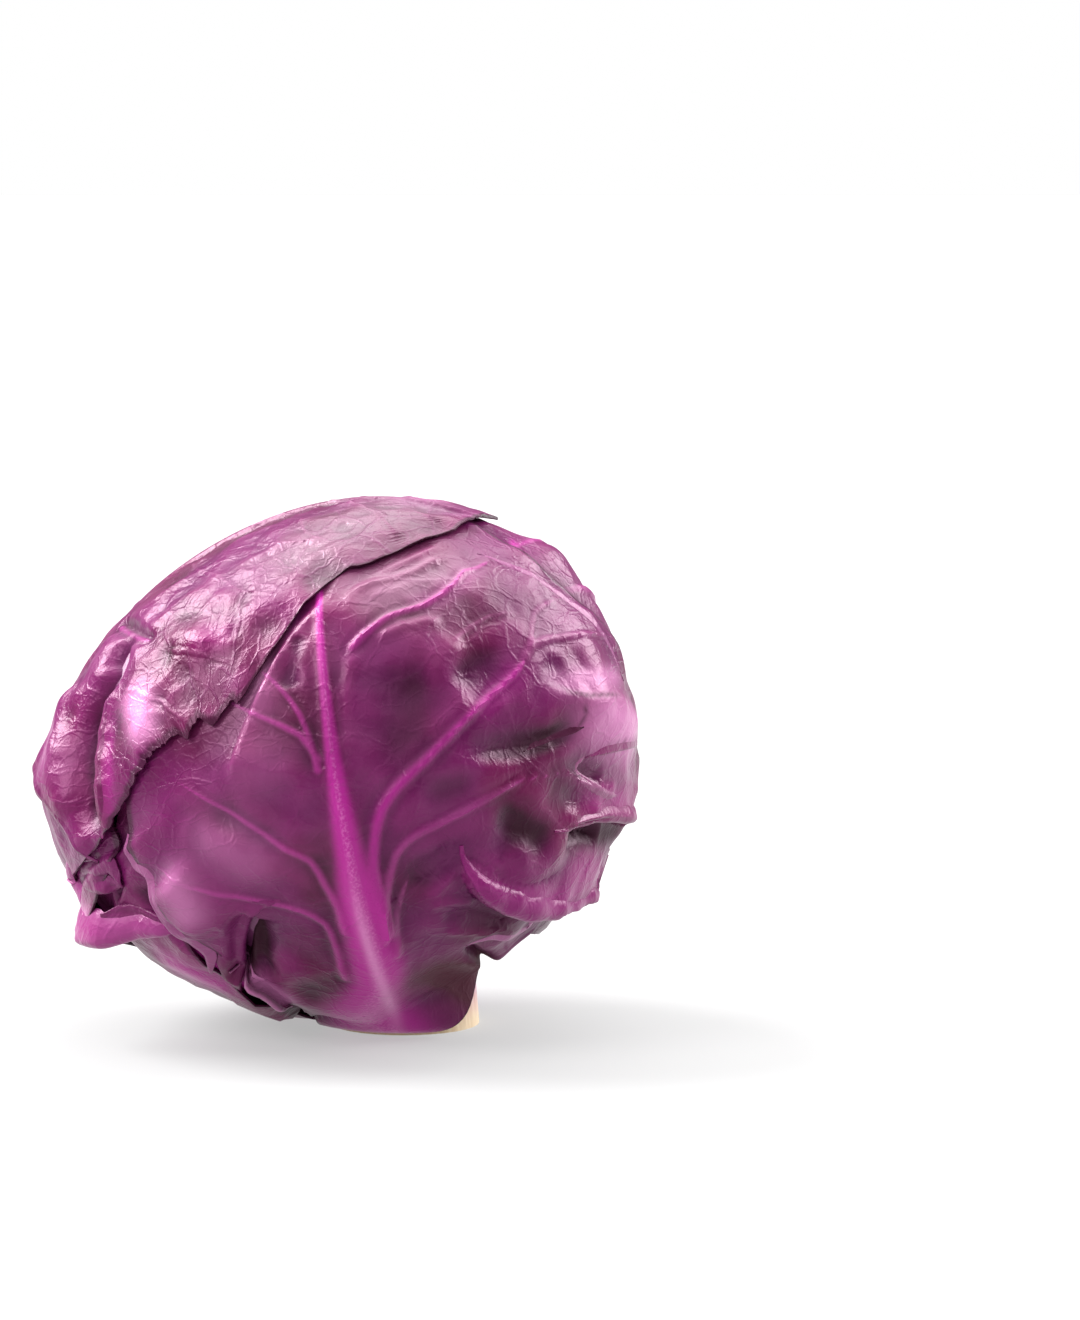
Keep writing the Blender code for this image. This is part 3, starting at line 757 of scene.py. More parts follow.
def leaf_skin(name, colours, bloom, net, crinkled):
    """Living cabbage leaf: a satin skin over plum flesh, paler where its wax bloom is whole,
    magenta along the ribs, with a net of fine veins that stands a little proud. bloom and net
    are the strength of the two, and crinkled the height of the finest wrinkles."""
    gloss = {"IOR": 1.38, "Specular Tint": linear("#ffb4df"), "Coat Weight": 0.04, "Coat Roughness": 0.28}
    skin, shader = new_material(name, gloss)
    place = add_node(skin, "ShaderNodeTexCoord", {}, "Object")
    blade = add_node(skin, "ShaderNodeUVMap", {"uv_map": "blade in mm"}, 0)
    value = {
        look: add_node(skin, "ShaderNodeAttribute", {"attribute_name": look}, "Fac") for look in LOOKS
    }
    tint = {look: linear(colour) for look, colour in colours.items()}
    # Unevenness 48, 17, 4, 0.7 and 0.9 mm large.
    cloud = add_node(skin, *NOISE, Vector=place, Scale=21.0, Detail=3.0)
    patch = add_node(skin, *NOISE, Vector=place, Scale=60.0, Detail=5.0, Roughness=0.62)
    pucker = add_node(skin, *NOISE, Vector=place, Scale=230.0, Detail=3.0)
    speck = add_node(skin, *NOISE, Vector=place, Scale=1500.0, Detail=2.0)
    grain = add_node(skin, *NOISE, Vector=place, Scale=1100.0, Detail=3.0)
    # The net of veins: cells about 13 mm across with 5 mm ones inside, their sides kinked.
    kink = add_node(skin, "ShaderNodeTexNoise", {}, 1, Vector=place, Scale=75.0, Detail=4.0)
    plus = {"operation": "MULTIPLY_ADD"}
    kinked = add_node(skin, "ShaderNodeVectorMath", plus, 0, i0=kink, i1=(10.0, 10.0, 0.0), i2=blade)
    cells = {"feature": "DISTANCE_TO_EDGE", "voronoi_dimensions": "2D"}
    to_coarse = add_node(skin, "ShaderNodeTexVoronoi", cells, 0, Vector=kinked, Scale=0.075)
    to_fine = add_node(skin, "ShaderNodeTexVoronoi", cells, 0, Vector=kinked, Scale=0.2)
    coarse = add_node(skin, *RAMP, i0=to_coarse, i1=0.0, i2=0.07, i3=1.0, i4=0.0)
    fine = add_node(skin, *RAMP, i0=to_fine, i1=0.0, i2=0.12, i3=1.0, i4=0.0)
    # Flesh, with shade painted into the hollows, under a patchy bloom, with the net in it.
    stands = add_node(skin, *RAMP, i0=value["crown"], i1=-1.2, i2=0.8)
    tinged = add_node(skin, *RAMP, i0=cloud, i1=0.42, i2=0.6, i3=0.0, i4=0.5)
    bloomed = add_node(skin, *RAMP, i0=patch, i1=0.36, i2=0.7, i3=0.0, i4=bloom)
    inked = add_node(skin, *TIMES, i0=coarse, i1=net)
    finely_inked = add_node(skin, *TIMES, i0=fine, i1=net * 0.4)
    # Side ribs, with a soft edge, and the midrib with specks of pith showing through.
    crest = add_node(skin, *RAMP, i0=value["near"], i1=0.0, i2=1.7, i3=1.0, i4=0.0)
    strong = add_node(skin, *TIMES_PLUS, i0=value["tone"], i1=0.55, i2=0.1)
    side_rib = add_node(skin, *TIMES, i0=strong, i1=crest)
    vein = add_node(skin, *MIX, i0=value["tone"], i6=tint["vein"], i7=tint["rib"])
    midrib = add_node(skin, *RAMP, i0=value["rib"], i1=0.2, i2=0.9, i3=0.0, i4=0.92)
    inner = add_node(skin, *RAMP, i0=value["rib"], i1=0.88, i2=1.0)
    flecks = add_node(skin, *RAMP, i0=speck, i1=0.4, i2=0.7, i3=0.05, i4=0.5)
    pith = add_node(skin, *TIMES, i0=inner, i1=flecks)
    dry = add_node(skin, *RAMP, i0=value["rim"], i1=0.4, i2=1.3, i3=0.75, i4=0.0)
    # All of them from the flesh up, with the strokes of paint over them: wax bloom with painted sheen,
    # magenta with painted glow, painted highlights and shade painted into the deep folds, then the
    # brownish inner side and the thin dry rim.
    colour = tint["hollow"]
    for share, over in (
        (stands, tint["blade"]),
        (tinged, tint["tinge"]),
        (bloomed, tint["bloom"]),
        (value["wax"], tint["wax"]),
        (inked, tint["net"]),
        (finely_inked, tint["net"]),
        (value["magenta"], tint["rib"]),
        (side_rib, vein),
        (midrib, tint["rib"]),
        (pith, tint["pith"]),
        (value["pale"], tint["pale"]),
        (value["deep"], tint["hollow"]),
        (value["brown"], tint["brown"]),
        (dry, tint["rim"]),
    ):
        colour = add_node(skin, *MIX, i0=share, i6=colour, i7=over)
    skin.node_tree.links.new(colour, shader.inputs["Base Color"])
    rough = add_node(skin, *RAMP, i0=patch, i1=0.3, i2=0.7, i3=0.27, i4=0.4)
    rough = add_node(skin, *TIMES_PLUS, i0=value["deep"], i1=0.3, i2=rough)
    rough = add_node(skin, *TIMES_PLUS, i0=value["brown"], i1=0.2, i2=rough)
    skin.node_tree.links.new(rough, shader.inputs["Roughness"])
    # Relief, in units of 0.3 mm: grain, puckers, the sharp wrinkles between them and the net.
    wrinkle = add_node(skin, "ShaderNodeMath", {"operation": "SUBTRACT"}, 0, i0=pucker, i1=0.5)
    wrinkle = add_node(skin, "ShaderNodeMath", {"operation": "ABSOLUTE"}, 0, i0=wrinkle)
    height = 0.0
    for part, share in ((grain, 0.3), (pucker, 1.0), (wrinkle, -crinkled), (coarse, 0.35), (fine, 0.2)):
        height = add_node(skin, *TIMES_PLUS, i0=part, i1=share, i2=height)
    relief = add_node(skin, "ShaderNodeBump", {}, 0, Strength=0.8, Distance=0.3 * MM, Height=height)
    skin.node_tree.links.new(relief, shader.inputs["Normal"])
    return skin


# Colours of the leaf, each named for the part or layer that it shows, or for the light painted into it:
# the darkest for painted shade, the palest pink for painted highlights and the greyish mauve for wax
# bloom with painted sheen.
PLUM = {
    "blade": "#641545",
    "hollow": "#260815",
    "tinge": "#6f1a5e",
    "bloom": "#94507f",
    "wax": "#ad92a2",
    "pale": "#d58abd",
    "net": "#7c2f66",
    "vein": "#93657f",
    "rib": "#a82488",
    "pith": "#cf6fb4",
    "brown": "#4a1f2c",
    "rim": "#2a0f1e",
}
# The skin of all leaves but the front one: crinkled all over, with its net of veins showing.
outer_skin = leaf_skin("waxy outer leaf", PLUM, 0.14, 0.16, 2.4)

left_leaf = Leaf(
    "leaf_left",
    -110,
    17,
    foot=(-42, 0, 30),
    neck=(-46, 0, 28),
    left=[
        (32, -30), (52, -46), (75, -54), (100, -58), (130, -58), (160, -52), (190, -42), (223, -20),
    ],
    right=[
        (40, 14), (62, 19), (75, 27), (79, 40), (82, 50), (87, 57), (93, 62), (105, 66), (136, 70.5),
        (164, 72.5), (190, 69.5), (197, 67), (203, 57), (206, 45), (209.5, 34), (215, 28), (219, 19),
        (223, 7),
    ],
    midrib=[(70, 0), (120, 0), (170, -4), (223, -3)],
    ribs=[
        (36, 46, 44), (50, 68, 64), (64, 88, 79), (82, 108, 89), (102, 130, 104),
        (126, 150, 136), (148, 172, 166), (170, 192, 190), (186, 204, 199), (202, 213, 207),
    ],
)
# Its veins: half-width and height in mm, and their way over the photograph.
LEFT_VEINS = (
    (0.7, 0.6, (190, 560, 197, 568, 215, 573, 235, 587, 250, 590, 265, 592, 280, 594, 295, 590)),
    (0.7, 0.5, (152, 632, 165, 648, 185, 652, 205, 655, 225, 661, 240, 663)),
    (0.7, 0.5, (112, 688, 130, 690, 150, 698, 160, 700, 170, 710, 178, 715, 195, 730)),
    (0.6, 0.4, (180, 607, 200, 608, 215, 615, 235, 618, 255, 615, 275, 617, 290, 612)),
    (0.6, 0.4, (237, 600, 240, 620, 235, 635, 228, 650)),
    (0.7, 0.6, (300, 518, 305, 530, 318, 537, 325, 543)),
    (0.7, 0.5, (240, 540, 270, 542, 300, 540, 320, 535)),
    (0.6, 0.4, (287, 545, 290, 560, 300, 568)),
    (0.7, 0.6, (300, 515, 330, 502, 355, 503, 375, 513, 390, 527, 402, 542, 412, 545)),
    (0.6, 0.4, (400, 505, 420, 515, 445, 525)),
    (0.6, 0.4, (440, 505, 450, 511, 460, 520)),
)
# Where its left part folds in on itself.
LEFT_CREASE = (113, 668, 102, 720, 99, 760, 100, 800, 102, 838)
left_lines = [
    Line("vein", way, (0.8 * width, 0.5 * width), 0.6 * height, tone=0.1)
    for width, height, way in LEFT_VEINS
]
left_lines += [
    # The deep crease where the leaf folds in on itself, and the sharp wall on its right.
    Line("ridge", (120, 635, 110, 668, 98, 695, 90, 725, 84, 760, 86, 800, 92, 840), (4.4, 4.8), -7.5),
    Line("fold", LEFT_CREASE, 0.9, 1.6, reach=4.0, lean=0.6),
    # The hollow over the crease, with the end of a rib in it.
    Line("ridge", (110, 618, 130, 630, 148, 638, 158, 640), (3.2, 2.6), -2.4),
    Line("ridge", (112, 622, 130, 633, 145, 638, 152, 632), (0.9, 0.8), 1.2, tone=1.0),
    # The edge over the leaf behind, the roll at the far left and the lump on the shoulder.
    Line("fold", (44, 755, 50, 785, 62, 815, 80, 846, 96, 862), 1.0, 2.4, reach=9.0, lean=0.8),
    Line("ridge", (70, 690, 62, 730, 62, 780, 72, 820), (5.0, 4.0), 2.0),
    Line("ridge", (180, 632, 200, 646), 5.0, 1.6, fade=0),
]
# Patches of its colour: painted highlights, the violet stripe by the crease with glow painted where light
# shines through the thin leaf, shade painted into the hollows, and painted sheen with the wax bloom over
# the crown.
left_paint = strokes(
    pale=(
        ((126, 680, 138, 710, 142, 755), (6.0, 5.0), 0.95),
        ((60, 700, 56, 740, 58, 790), 3.0, 0.2),
        ((330, 500, 400, 492, 450, 505), (9.0, 7.0), 0.25),
    ),
    magenta=(
        ((110, 700, 108, 740, 109, 780, 112, 830), (2.4, 2.0), 0.35),
        ((190, 640, 215, 635, 240, 640), (6.0, 5.0), 0.2),
    ),
    deep=(
        ((112, 668, 96, 700, 90, 740, 88, 790, 93, 835), (4.6, 4.0), 1.0),
        ((118, 618, 135, 632, 150, 640), (3.0, 2.0), 0.5),
    ),
    wax=(
        ((240, 600, 340, 530, 470, 500), (16.0, 14.0), 0.24),
    ),
)
left_dents = ((100, -78, 10, 2.6), (25, -105, 9, 2.2))
left_blade = Blade(left_leaf, outer_skin, left_lines, left_dents, midrib=0.6, wave=0.5, puff=0.6,
                   paint=left_paint, rib_tone=0.0)
lay_leaf(left_blade, 240, (60, 145), torn=1.4)

# Its left part rolls under along one edge and creases where it folds in.
lay_fold("leaf_left_edge", left_blade, (44, 752, 50, 785, 62, 815, 80, 846, 97, 863), 1.8)
lay_fold("leaf_left_crease", left_blade, LEFT_CREASE, 2.0)

# Front leaf. The big leaf that faces the camera, with the thick midrib that clasps the stem.
# Its side ribs sweep up to the margins, and its lower right margin folds over in a ruffle.
front_leaf = Leaf(
    "leaf_front",
    22,
    17,
    foot=(-95, -28, -2),
    neck=(-72, -33, 35),
    left=[
        (27, -33), (35, -42), (42, -50), (50, -56), (60, -60), (74, -66), (90, -67), (113, -64),
        (149, -54), (165, -33),
    ],
    right=[
        (24.5, 19), (28, 18), (31.5, 30), (33.5, 42), (39, 51), (48, 58), (63, 65), (85, 68.5),
        (110, 60), (124, 46), (135, 37), (149, 33), (165, 25),
    ],
    midrib=[(43, -16), (72, -20.5), (96, -20), (120, -15), (137, -9), (165, 0)],
    ribs=[
        (32, 37, 27), (42, 50, 32), (54, 74, 39), (62, 92, 60), (74, 108, 92), (92, 124, 114),
        (108, 138, 130), (130, 152, 148),
    ],
)
# Its ribs: half-widths at the start and end, height and tone, and their way over the
# photograph, those on the right from the top down, and then those on the left.
FRONT_RIBS = (
    (1.6, 1.1, 1.8, 1.0,
     (387, 930, 380, 900, 374, 870, 375, 840, 382, 810, 400, 785, 425, 762, 455, 730, 480, 705,
      512, 677, 530, 652)),
    (1.0, 0.7, 1.0, 0.4, (526, 656, 532, 645, 545, 639, 560, 637, 590, 636, 607, 638)),
    (0.8, 0.6, 0.7, 0.5, (530, 648, 533, 625, 536, 612, 548, 603, 562, 594)),
    (1.2, 0.8, 1.4, 0.7,
     (386, 935, 386, 905, 390, 875, 397, 855, 415, 837, 440, 825, 465, 812, 495, 795, 525, 780,
      555, 775, 582, 767)),
    (1.0, 0.7, 0.9, 0.5, (397, 950, 397, 920, 402, 895, 412, 875, 425, 860)),
    (0.9, 0.9, 1.3, 0.9,
     (352, 648, 365, 635, 385, 620, 405, 612, 425, 605, 440, 595, 455, 583, 465, 570, 480, 565,
      492, 558)),
    (0.6, 0.5, 0.5, 0.3, (455, 640, 465, 630, 478, 622, 490, 615, 505, 612, 520, 613, 533, 615)),
    (1.1, 0.7, 0.8, 0.8,
     (345, 930, 337, 905, 325, 885, 310, 862, 285, 850, 250, 828, 210, 803, 180, 785, 150, 770)),
    (1.1, 0.7, 0.9, 0.8,
     (345, 975, 335, 945, 325, 925, 300, 912, 270, 905, 240, 897, 215, 890, 180, 875, 145, 860)),
    (0.9, 0.7, 0.7, 0.9, (318, 760, 300, 735, 280, 725, 250, 712, 225, 700)),
    (0.9, 0.7, 0.7, 0.9, (318, 770, 308, 735, 300, 715, 290, 700, 275, 683, 258, 668)),
)
front_lines = [
    Line("vein", way, (1.1 * start, 0.6 * end), 0.7 * height, tone=tone,
         fade=(0.0, 0.08 if tone >= 0.9 else 0.35))
    for start, end, height, tone, way in FRONT_RIBS
]
front_lines += [
    # Wrinkles along the outer leaf's margin, and the soft ridges right of the midrib.
    Line("ridge", (340, 590, 380, 582, 415, 570, 440, 557, 455, 556), (1.6, 1.2), 0.9),
    Line("ridge", (330, 575, 370, 570, 410, 556, 440, 545, 470, 547, 490, 553), (1.4, 1.2), 0.8),
    Line("ridge", (440, 535, 465, 537, 485, 545, 500, 555), (1.4, 1.2), 0.8),
    Line("ridge", (375, 640, 400, 630, 425, 622, 445, 620), (1.6, 1.4), 0.9),
    Line("ridge", (355, 645, 348, 700, 350, 760), 2.0, 0.9),
    # Broad hollows and swellings between the ribs.
    Line("ridge", (402, 640, 404, 710, 385, 780), (9.0, 8.0), -2.4, fade=0.4),
    Line("ridge", (450, 700, 480, 670, 505, 640), (7.0, 6.0), -1.6, fade=0.4),
    Line("ridge", (430, 690, 445, 660, 470, 640), (3.5, 3.0), 1.2, fade=0.4),
    Line("ridge", (425, 745, 460, 715, 490, 690), (3.5, 3.0), 1.2, fade=(0.3, 0.4)),
    Line("ridge", (400, 885, 440, 862, 485, 835), (4.0, 3.6), -2.0, fade=(0.3, 0.4)),
    Line("ridge", (425, 900, 445, 885, 460, 870), (1.6, 1.4), 1.2, fade=0.3),
    Line("ridge", (205, 760, 250, 765, 300, 790), 6.0, 1.8, fade=0.4),
    Line("ridge", (190, 830, 240, 855, 290, 880), 5.0, 1.6, fade=0.4),
    Line("ridge", (190, 800, 240, 826, 300, 862), 3.5, -1.6, fade=0.4),
    Line("ridge", (258, 950, 280, 970, 300, 985), 6.0, 2.0, fade=0.4),
    # The hollows above the ruffle and under the second rib.
    Line("ridge", (455, 754, 505, 748, 540, 742, 578, 730), (4.0, 2.4), -2.8, fade=(0.5, 0.2)),
    Line("ridge", (415, 802, 450, 790, 490, 778), (4.0, 3.4), -1.8, fade=0.5),
    Line("ridge", (560, 705, 600, 712, 640, 730), (7.0, 6.0), 2.2, fade=0.3),
    Line("fold", (620, 697, 580, 697, 560, 688, 535, 680), (1.4, 1.0), 0.9, reach=5.0),
    # The lumps left of the midrib.
    Line("ridge", (268, 650, 274, 664), 4.2, 1.5, fade=0),
    Line("ridge", (257, 688, 267, 695), 3.8, 1.2, fade=0),
    Line("ridge", (300, 632, 292, 660, 288, 690), (2.6, 2.4), -1.6),
    # The ruffle: a bulge whose lip hangs over the blade below it, with hollows and slits in it.
    Line("ridge", (500, 850, 530, 845, 570, 850), 11.0, 3.0, fade=0.3),
    Line("ridge", (515, 822, 535, 838), 4.6, -3.6, fade=0),
    Line("ridge", (562, 842, 580, 834, 600, 833), (2.0, 2.2), -3.8),
    Line("ridge", (606, 848, 616, 836, 622, 822), (2.4, 2.2), -5.0),
    Line("fold", (553, 826, 575, 822, 600, 817, 620, 818, 638, 824), 0.9, 2.2, reach=4.0, lean=1.2),
    Line("ridge", (580, 765, 592, 775, 602, 778), (2.4, 2.2), -2.0),
    Line("fold", (618, 780, 612, 785, 590, 782, 575, 775, 560, 765), 0.9, 1.4, reach=3.0, lean=0.5),
    Line("ridge", (463, 852, 478, 862, 495, 872, 515, 880, 540, 878, 560, 870), 1.2, -1.4),
    Line("fold", (463, 850, 466, 878, 480, 895, 500, 904, 520, 910, 540, 908, 562, 900, 585, 890,
         602, 878, 616, 862, 624, 848), 1.2, 5.0, reach=12.0, lean=2.0, fade=(0.1, 0.12)),
    # The lower blade: wrinkles under the lip, and the notch where its margin folds back.
    Line("ridge", (440, 920, 470, 915, 500, 922, 520, 920), (1.8, 1.4), -1.4),
    Line("ridge", (445, 931, 480, 931, 512, 925), (1.6, 1.4), 1.6),
    Line("ridge", (430, 905, 455, 902, 475, 903), (1.5, 1.2), 1.2),
    Line("ridge", (468, 948, 485, 962, 495, 975, 490, 988, 478, 994), 1.8, -4.0),
    # The left margin: the nose and the black pocket under it, with its rolled rim.
    Line("ridge", (165, 868, 190, 900, 215, 940), (9.0, 7.0), 3.4, fade=(0.25, 0.2)),
    Line("ridge", (240, 985, 238, 960, 238, 940, 243, 922, 252, 912), (2.4, 2.0), -8.0),
    Line("ridge", (250, 918, 256, 950, 262, 978), (4.5, 5.0), -5.0),
    Line("fold", (335, 1010, 310, 1015, 300, 1010, 280, 997, 265, 985, 245, 978, 230, 975), 1.0, -1.8,
         reach=4.0),
    Line("ridge", (170, 910, 185, 925, 205, 930, 225, 925), (1.6, 1.4), -1.4),
]
front_dents = ((74, -38, 11, 2.4), (96, 66, 12, 2.0), (65, 84, 10, 2.8), (118, 22, 10, 1.6),
               (112, -16, 9, 1.2))
# Patches of its colour: highlights painted as bright bands on the bulges, shade painted into the dark
# hollows, the magenta foot and ribs with glow painted on the thin right side, the brownish inner side,
# and painted sheen with the wax bloom at the top.
front_paint = strokes(
    pale=(
        ((540, 690, 580, 680, 625, 678), (3.5, 3.0), 0.5),
        ((555, 705, 600, 730, 645, 755), (8.0, 7.0), 0.4),
        ((160, 850, 185, 885, 210, 930), (6.0, 5.0), 0.42),
        ((215, 700, 250, 740, 300, 790), (10.0, 9.0), 0.12),
        ((170, 820, 230, 850, 290, 885), (8.0, 7.0), 0.2),
        ((245, 975, 270, 985, 300, 1003), 2.4, 0.6),
        ((346, 840, 352, 880, 368, 940, 385, 985, 400, 1028), (1.3, 2.2), 0.7),
        ((560, 700, 600, 712, 643, 735), 6.0, 0.35),
        ((250, 640, 262, 690, 250, 730), 6.0, 0.2),
    ),
    magenta=(
        ((310, 1015, 375, 1008, 425, 1022), (8.0, 5.0), 0.7),
        ((375, 1000, 385, 970, 380, 940), (8.0, 6.0), 0.35),
        ((480, 870, 520, 895, 575, 885), 4.0, 0.35),
        ((560, 855, 590, 868, 625, 850), 7.0, 0.45),
        ((470, 720, 500, 690, 530, 655), (3.5, 3.0), 0.4),
        ((395, 610, 440, 595, 485, 560), 3.0, 0.3),
        ((560, 790, 600, 798, 640, 795), (5.0, 4.0), 0.35),
        ((345, 860, 362, 925, 385, 1000), (5.0, 7.0), 0.4),
        ((560, 715, 600, 735, 640, 765), 9.0, 0.3),
    ),
    deep=(
        ((500, 822, 528, 832, 552, 842), 5.0, 1.0),
        ((562, 842, 600, 836, 622, 830), 3.0, 0.9),
        ((500, 740, 530, 742, 575, 727), (5.0, 3.0), 0.6),
        ((425, 798, 480, 780), 4.0, 0.35),
        ((410, 650, 405, 720, 385, 790), (10.0, 8.0), 0.4),
        ((236, 1010, 246, 975, 247, 935, 262, 900), 3.5, 1.0),
        ((250, 910, 258, 940, 266, 965, 280, 985), 3.0, 0.8),
        ((455, 900, 500, 918, 530, 915), (5.0, 4.0), 0.6),
        ((470, 585, 515, 600, 560, 625), 9.0, 0.35),
        ((312, 640, 320, 720, 335, 800), 5.0, 0.3),
        ((480, 815, 510, 800, 545, 800), 4.0, 0.3),
        ((535, 679, 560, 688, 580, 697, 618, 697), (0.8, 0.6), 0.8),
        ((577, 697, 580, 718, 573, 735), (0.6, 0.5), 0.7),
        ((590, 750, 620, 742, 646, 738), (0.6, 0.5), 0.5),
        ((468, 949, 487, 960, 495, 975, 484, 990), 3.0, 0.8),
    ),
    brown=(
        ((430, 960, 455, 970, 480, 985), (6.0, 5.0), 0.7),
        ((420, 985, 455, 995, 490, 985), (6.0, 5.0), 0.8),
        ((395, 962, 445, 978, 505, 985), (8.0, 9.0), 1.0),
        ((430, 1003, 465, 1000, 500, 995), (5.0, 6.0), 0.9),
        ((440, 930, 480, 935, 530, 925), (6.0, 5.0), 0.5),
    ),
    wax=(
        ((330, 615, 400, 590, 500, 565), 9.0, 0.3),
    ),
)
# The front leaf is stretched smoother than the others, and its net of veins hardly shows.
front_skin = leaf_skin("waxy front leaf", PLUM, 0.16, 0.08, 0.7)
front_blade = Blade(front_leaf, front_skin, front_lines, front_dents, wave=0.8, paint=front_paint)
lay_leaf(front_blade, 240, (100, 105))

# Two more sections, like LIP: a roll is rounder with a crease behind it, and a curl turns up.
ROLL = (
    (-1.35, -0.2), (-1.15, 0.06), (-0.8, 0.3), (-0.35, 0.38), (0.05, 0.24), (0.28, -0.12), (0.25, -0.5),
    (0.0, -0.8),
)
CURL = (
    (-1.4, -0.12), (-0.8, 0.0), (-0.2, 0.15), (0.3, 0.5), (0.5, 0.95), (0.25, 1.3), (-0.15, 1.25),
    (-0.3, 0.95),
)
# Its folds, each with its way over the photograph, size in mm, section and paint, which gives some
# magenta, some a painted highlight and the tuck painted shade.
FRONT_FOLDS = (
    ("ruffle",
     (463, 848, 465, 870, 477, 889, 497, 902, 520, 908, 540, 908, 562, 902, 585, 889, 604, 874,
      617, 858), 4.6, ROLL, {"magenta": 0.2}),
    ("nose",
     (550, 831, 568, 829, 585, 825, 605, 819, 622, 817, 637, 823, 638, 842), 3.0, ROLL,
      {"magenta": 0.15}),
    ("pocket_rim",
     (616, 795, 603, 790, 592, 784, 584, 775, 580, 764, 587, 756), 1.7, LIP, {"pale": 0.25}),
    ("bulge_edge", (586, 758, 605, 752, 622, 748, 640, 744), 1.4, LIP, {"magenta": 0.2}),
    ("tuck", (530, 752, 551, 744, 566, 736, 580, 728), 1.4, LIP, {"deep": 0.5}),
    ("lower_edge",
     (466, 948, 490, 941, 518, 937, 532, 929, 541, 915, 546, 902), 1.6, LIP, {"pale": 0.35}),
    ("shoulder",
     (621, 682, 612, 650, 600, 632, 585, 613, 560, 590, 530, 572, 505, 560, 480, 550), 1.6, LIP,
      {"pale": 0.2}),
    ("left_edge",
     (124, 835, 127, 852, 137, 867, 150, 874, 161, 896, 176, 924, 191, 941, 206, 957, 211, 972), 2.2,
      LIP, {"pale": 0.2}),
    ("pocket", (240, 992, 234, 965, 235, 940, 243, 920, 260, 908, 280, 903), 3.4, LIP, {}),
    ("hem", (228, 974, 246, 978, 265, 985, 280, 995, 292, 1003), 2.0, CURL, {"pale": 0.4}),
)
for name, way, size, section, paint in FRONT_FOLDS:
    lay_fold("leaf_front_" + name, front_blade, way, size, section, **paint)

# Back leaf. A broad wrapper leaf over the back of the head, of thin plum flesh like the others. It
# grows from the stem, and the left and front leaves lap over its margins.

# The share of a plain leaf's length, and its share of the full width there.
PLAIN_SHAPE = ((0.14, 0.5), (0.3, 0.82), (0.5, 1.0), (0.7, 0.95), (0.87, 0.72), (1.0, 0.34))


def plain_leaf(name, facing, half_width, tip, rib_count, base, foot=(-42, 0, 40)):
    """A broad wrapper leaf: its margins widen from the stem, round off and close at the tip."""
    reach = tip - base
    right = [(base + reach * share, half_width * width) for share, width in PLAIN_SHAPE]
    left = [(along, -across) for along, across in right]
    midrib = [(base + reach * 0.5, 1.5), (tip, -1)]
    neck = foot if base < NECK_ANGLE - 1 else None
    return Leaf(name, facing, base, foot, neck, left, right, midrib, even_ribs(base, tip, rib_count))


def even_ribs(base, tip, count):
    """Side ribs set evenly up a leaf, sweeping up towards the margin most in its middle."""
    ribs = []
    for share in np.linspace(0.1, 0.84, count):
        start = base + (tip - base) * share
        end = start + (tip - base) * (0.04 + 0.42 * share * (1 - share))
        ribs.append((start, end, end))
    return ribs


# The half-width of such a leaf's ribs at the midrib and at the margin, in mm.
PLAIN_RIB_WIDTH = (1.1, 0.6 * 1.1)


def rib_lines(leaf, height):
    """Side ribs drawn where the leaf's own are, for the leaves of the sides and back."""
    lines = []
    share = np.linspace(0.04, 0.9, 7)
    for start, left_end, right_end in leaf.ribs:
        middle = through(leaf.midrib, np.array([start]))[0]
        for end, margin in ((left_end, leaf.left), (right_end, leaf.right)):
            edge = through(margin, np.array([end]))[0]
            along = start + (end - start) * share**RIB_SWEEP
            across = middle + (edge - middle) * share
            way = to_direction(leaf.facing, along, across)
            lines.append(Line("vein", way, PLAIN_RIB_WIDTH, height, tone=0.8, fade=(0.0, 0.3)))
    return lines


back_leaf = plain_leaf("leaf_back", 160, 52, 172, 8, 18, foot=(-16, 4, 40))
back_blade = Blade(back_leaf, outer_skin, rib_lines(back_leaf, 1.2), midrib=0.7)
lay_leaf(back_blade, 150, (65, 66))

# Back left leaf. A wrapper leaf at the far left and back, of which a margin shows past the left
# leaf's. It grows from the side of the stem, and its edge rolls outwards.
back_left_leaf = Leaf(
    "leaf_back_left",
    -150,
    25,
    foot=(-40, 0, 32),
    neck=None,
    left=[(40, -27), (75, -38), (120, -38), (160, -16)],
    right=[(40, 20), (60, 30), (73, 42), (81, 58), (92, 68), (112, 66), (138, 48), (160, 16)],
    midrib=[(50, 6), (80, 14), (120, 13), (160, 0)],
    ribs=[(36, 44, 46), (50, 66, 64), (64, 86, 76), (84, 106, 86), (106, 128, 108), (132, 148, 138)],
)
back_left_lines = rib_lines(back_left_leaf, 0.6)
back_left_lines += [
    Line("ridge", (46, 800, 56, 830, 72, 848), 5.0, 4.0, fade=0.2),
    Line("ridge", (42, 786, 56, 815, 82, 845), 1.0, -1.5),
]
# A highlight painted along its rolled edge.
back_left_paint = strokes(
    pale=(
        ((48, 800, 58, 835, 80, 855), 4.0, 0.3),
    ),
)
back_left_blade = Blade(back_left_leaf, outer_skin, back_left_lines, midrib=0.2,
                        paint=back_left_paint, rib_tone=0.0)
lay_leaf(back_left_blade, 130, (50, 71))
BACK_LEFT_RIM = (40, 770, 41, 795, 47, 820, 57, 842, 72, 858, 92, 862)
lay_fold("leaf_back_left_rim", back_left_blade, BACK_LEFT_RIM, 4.0)

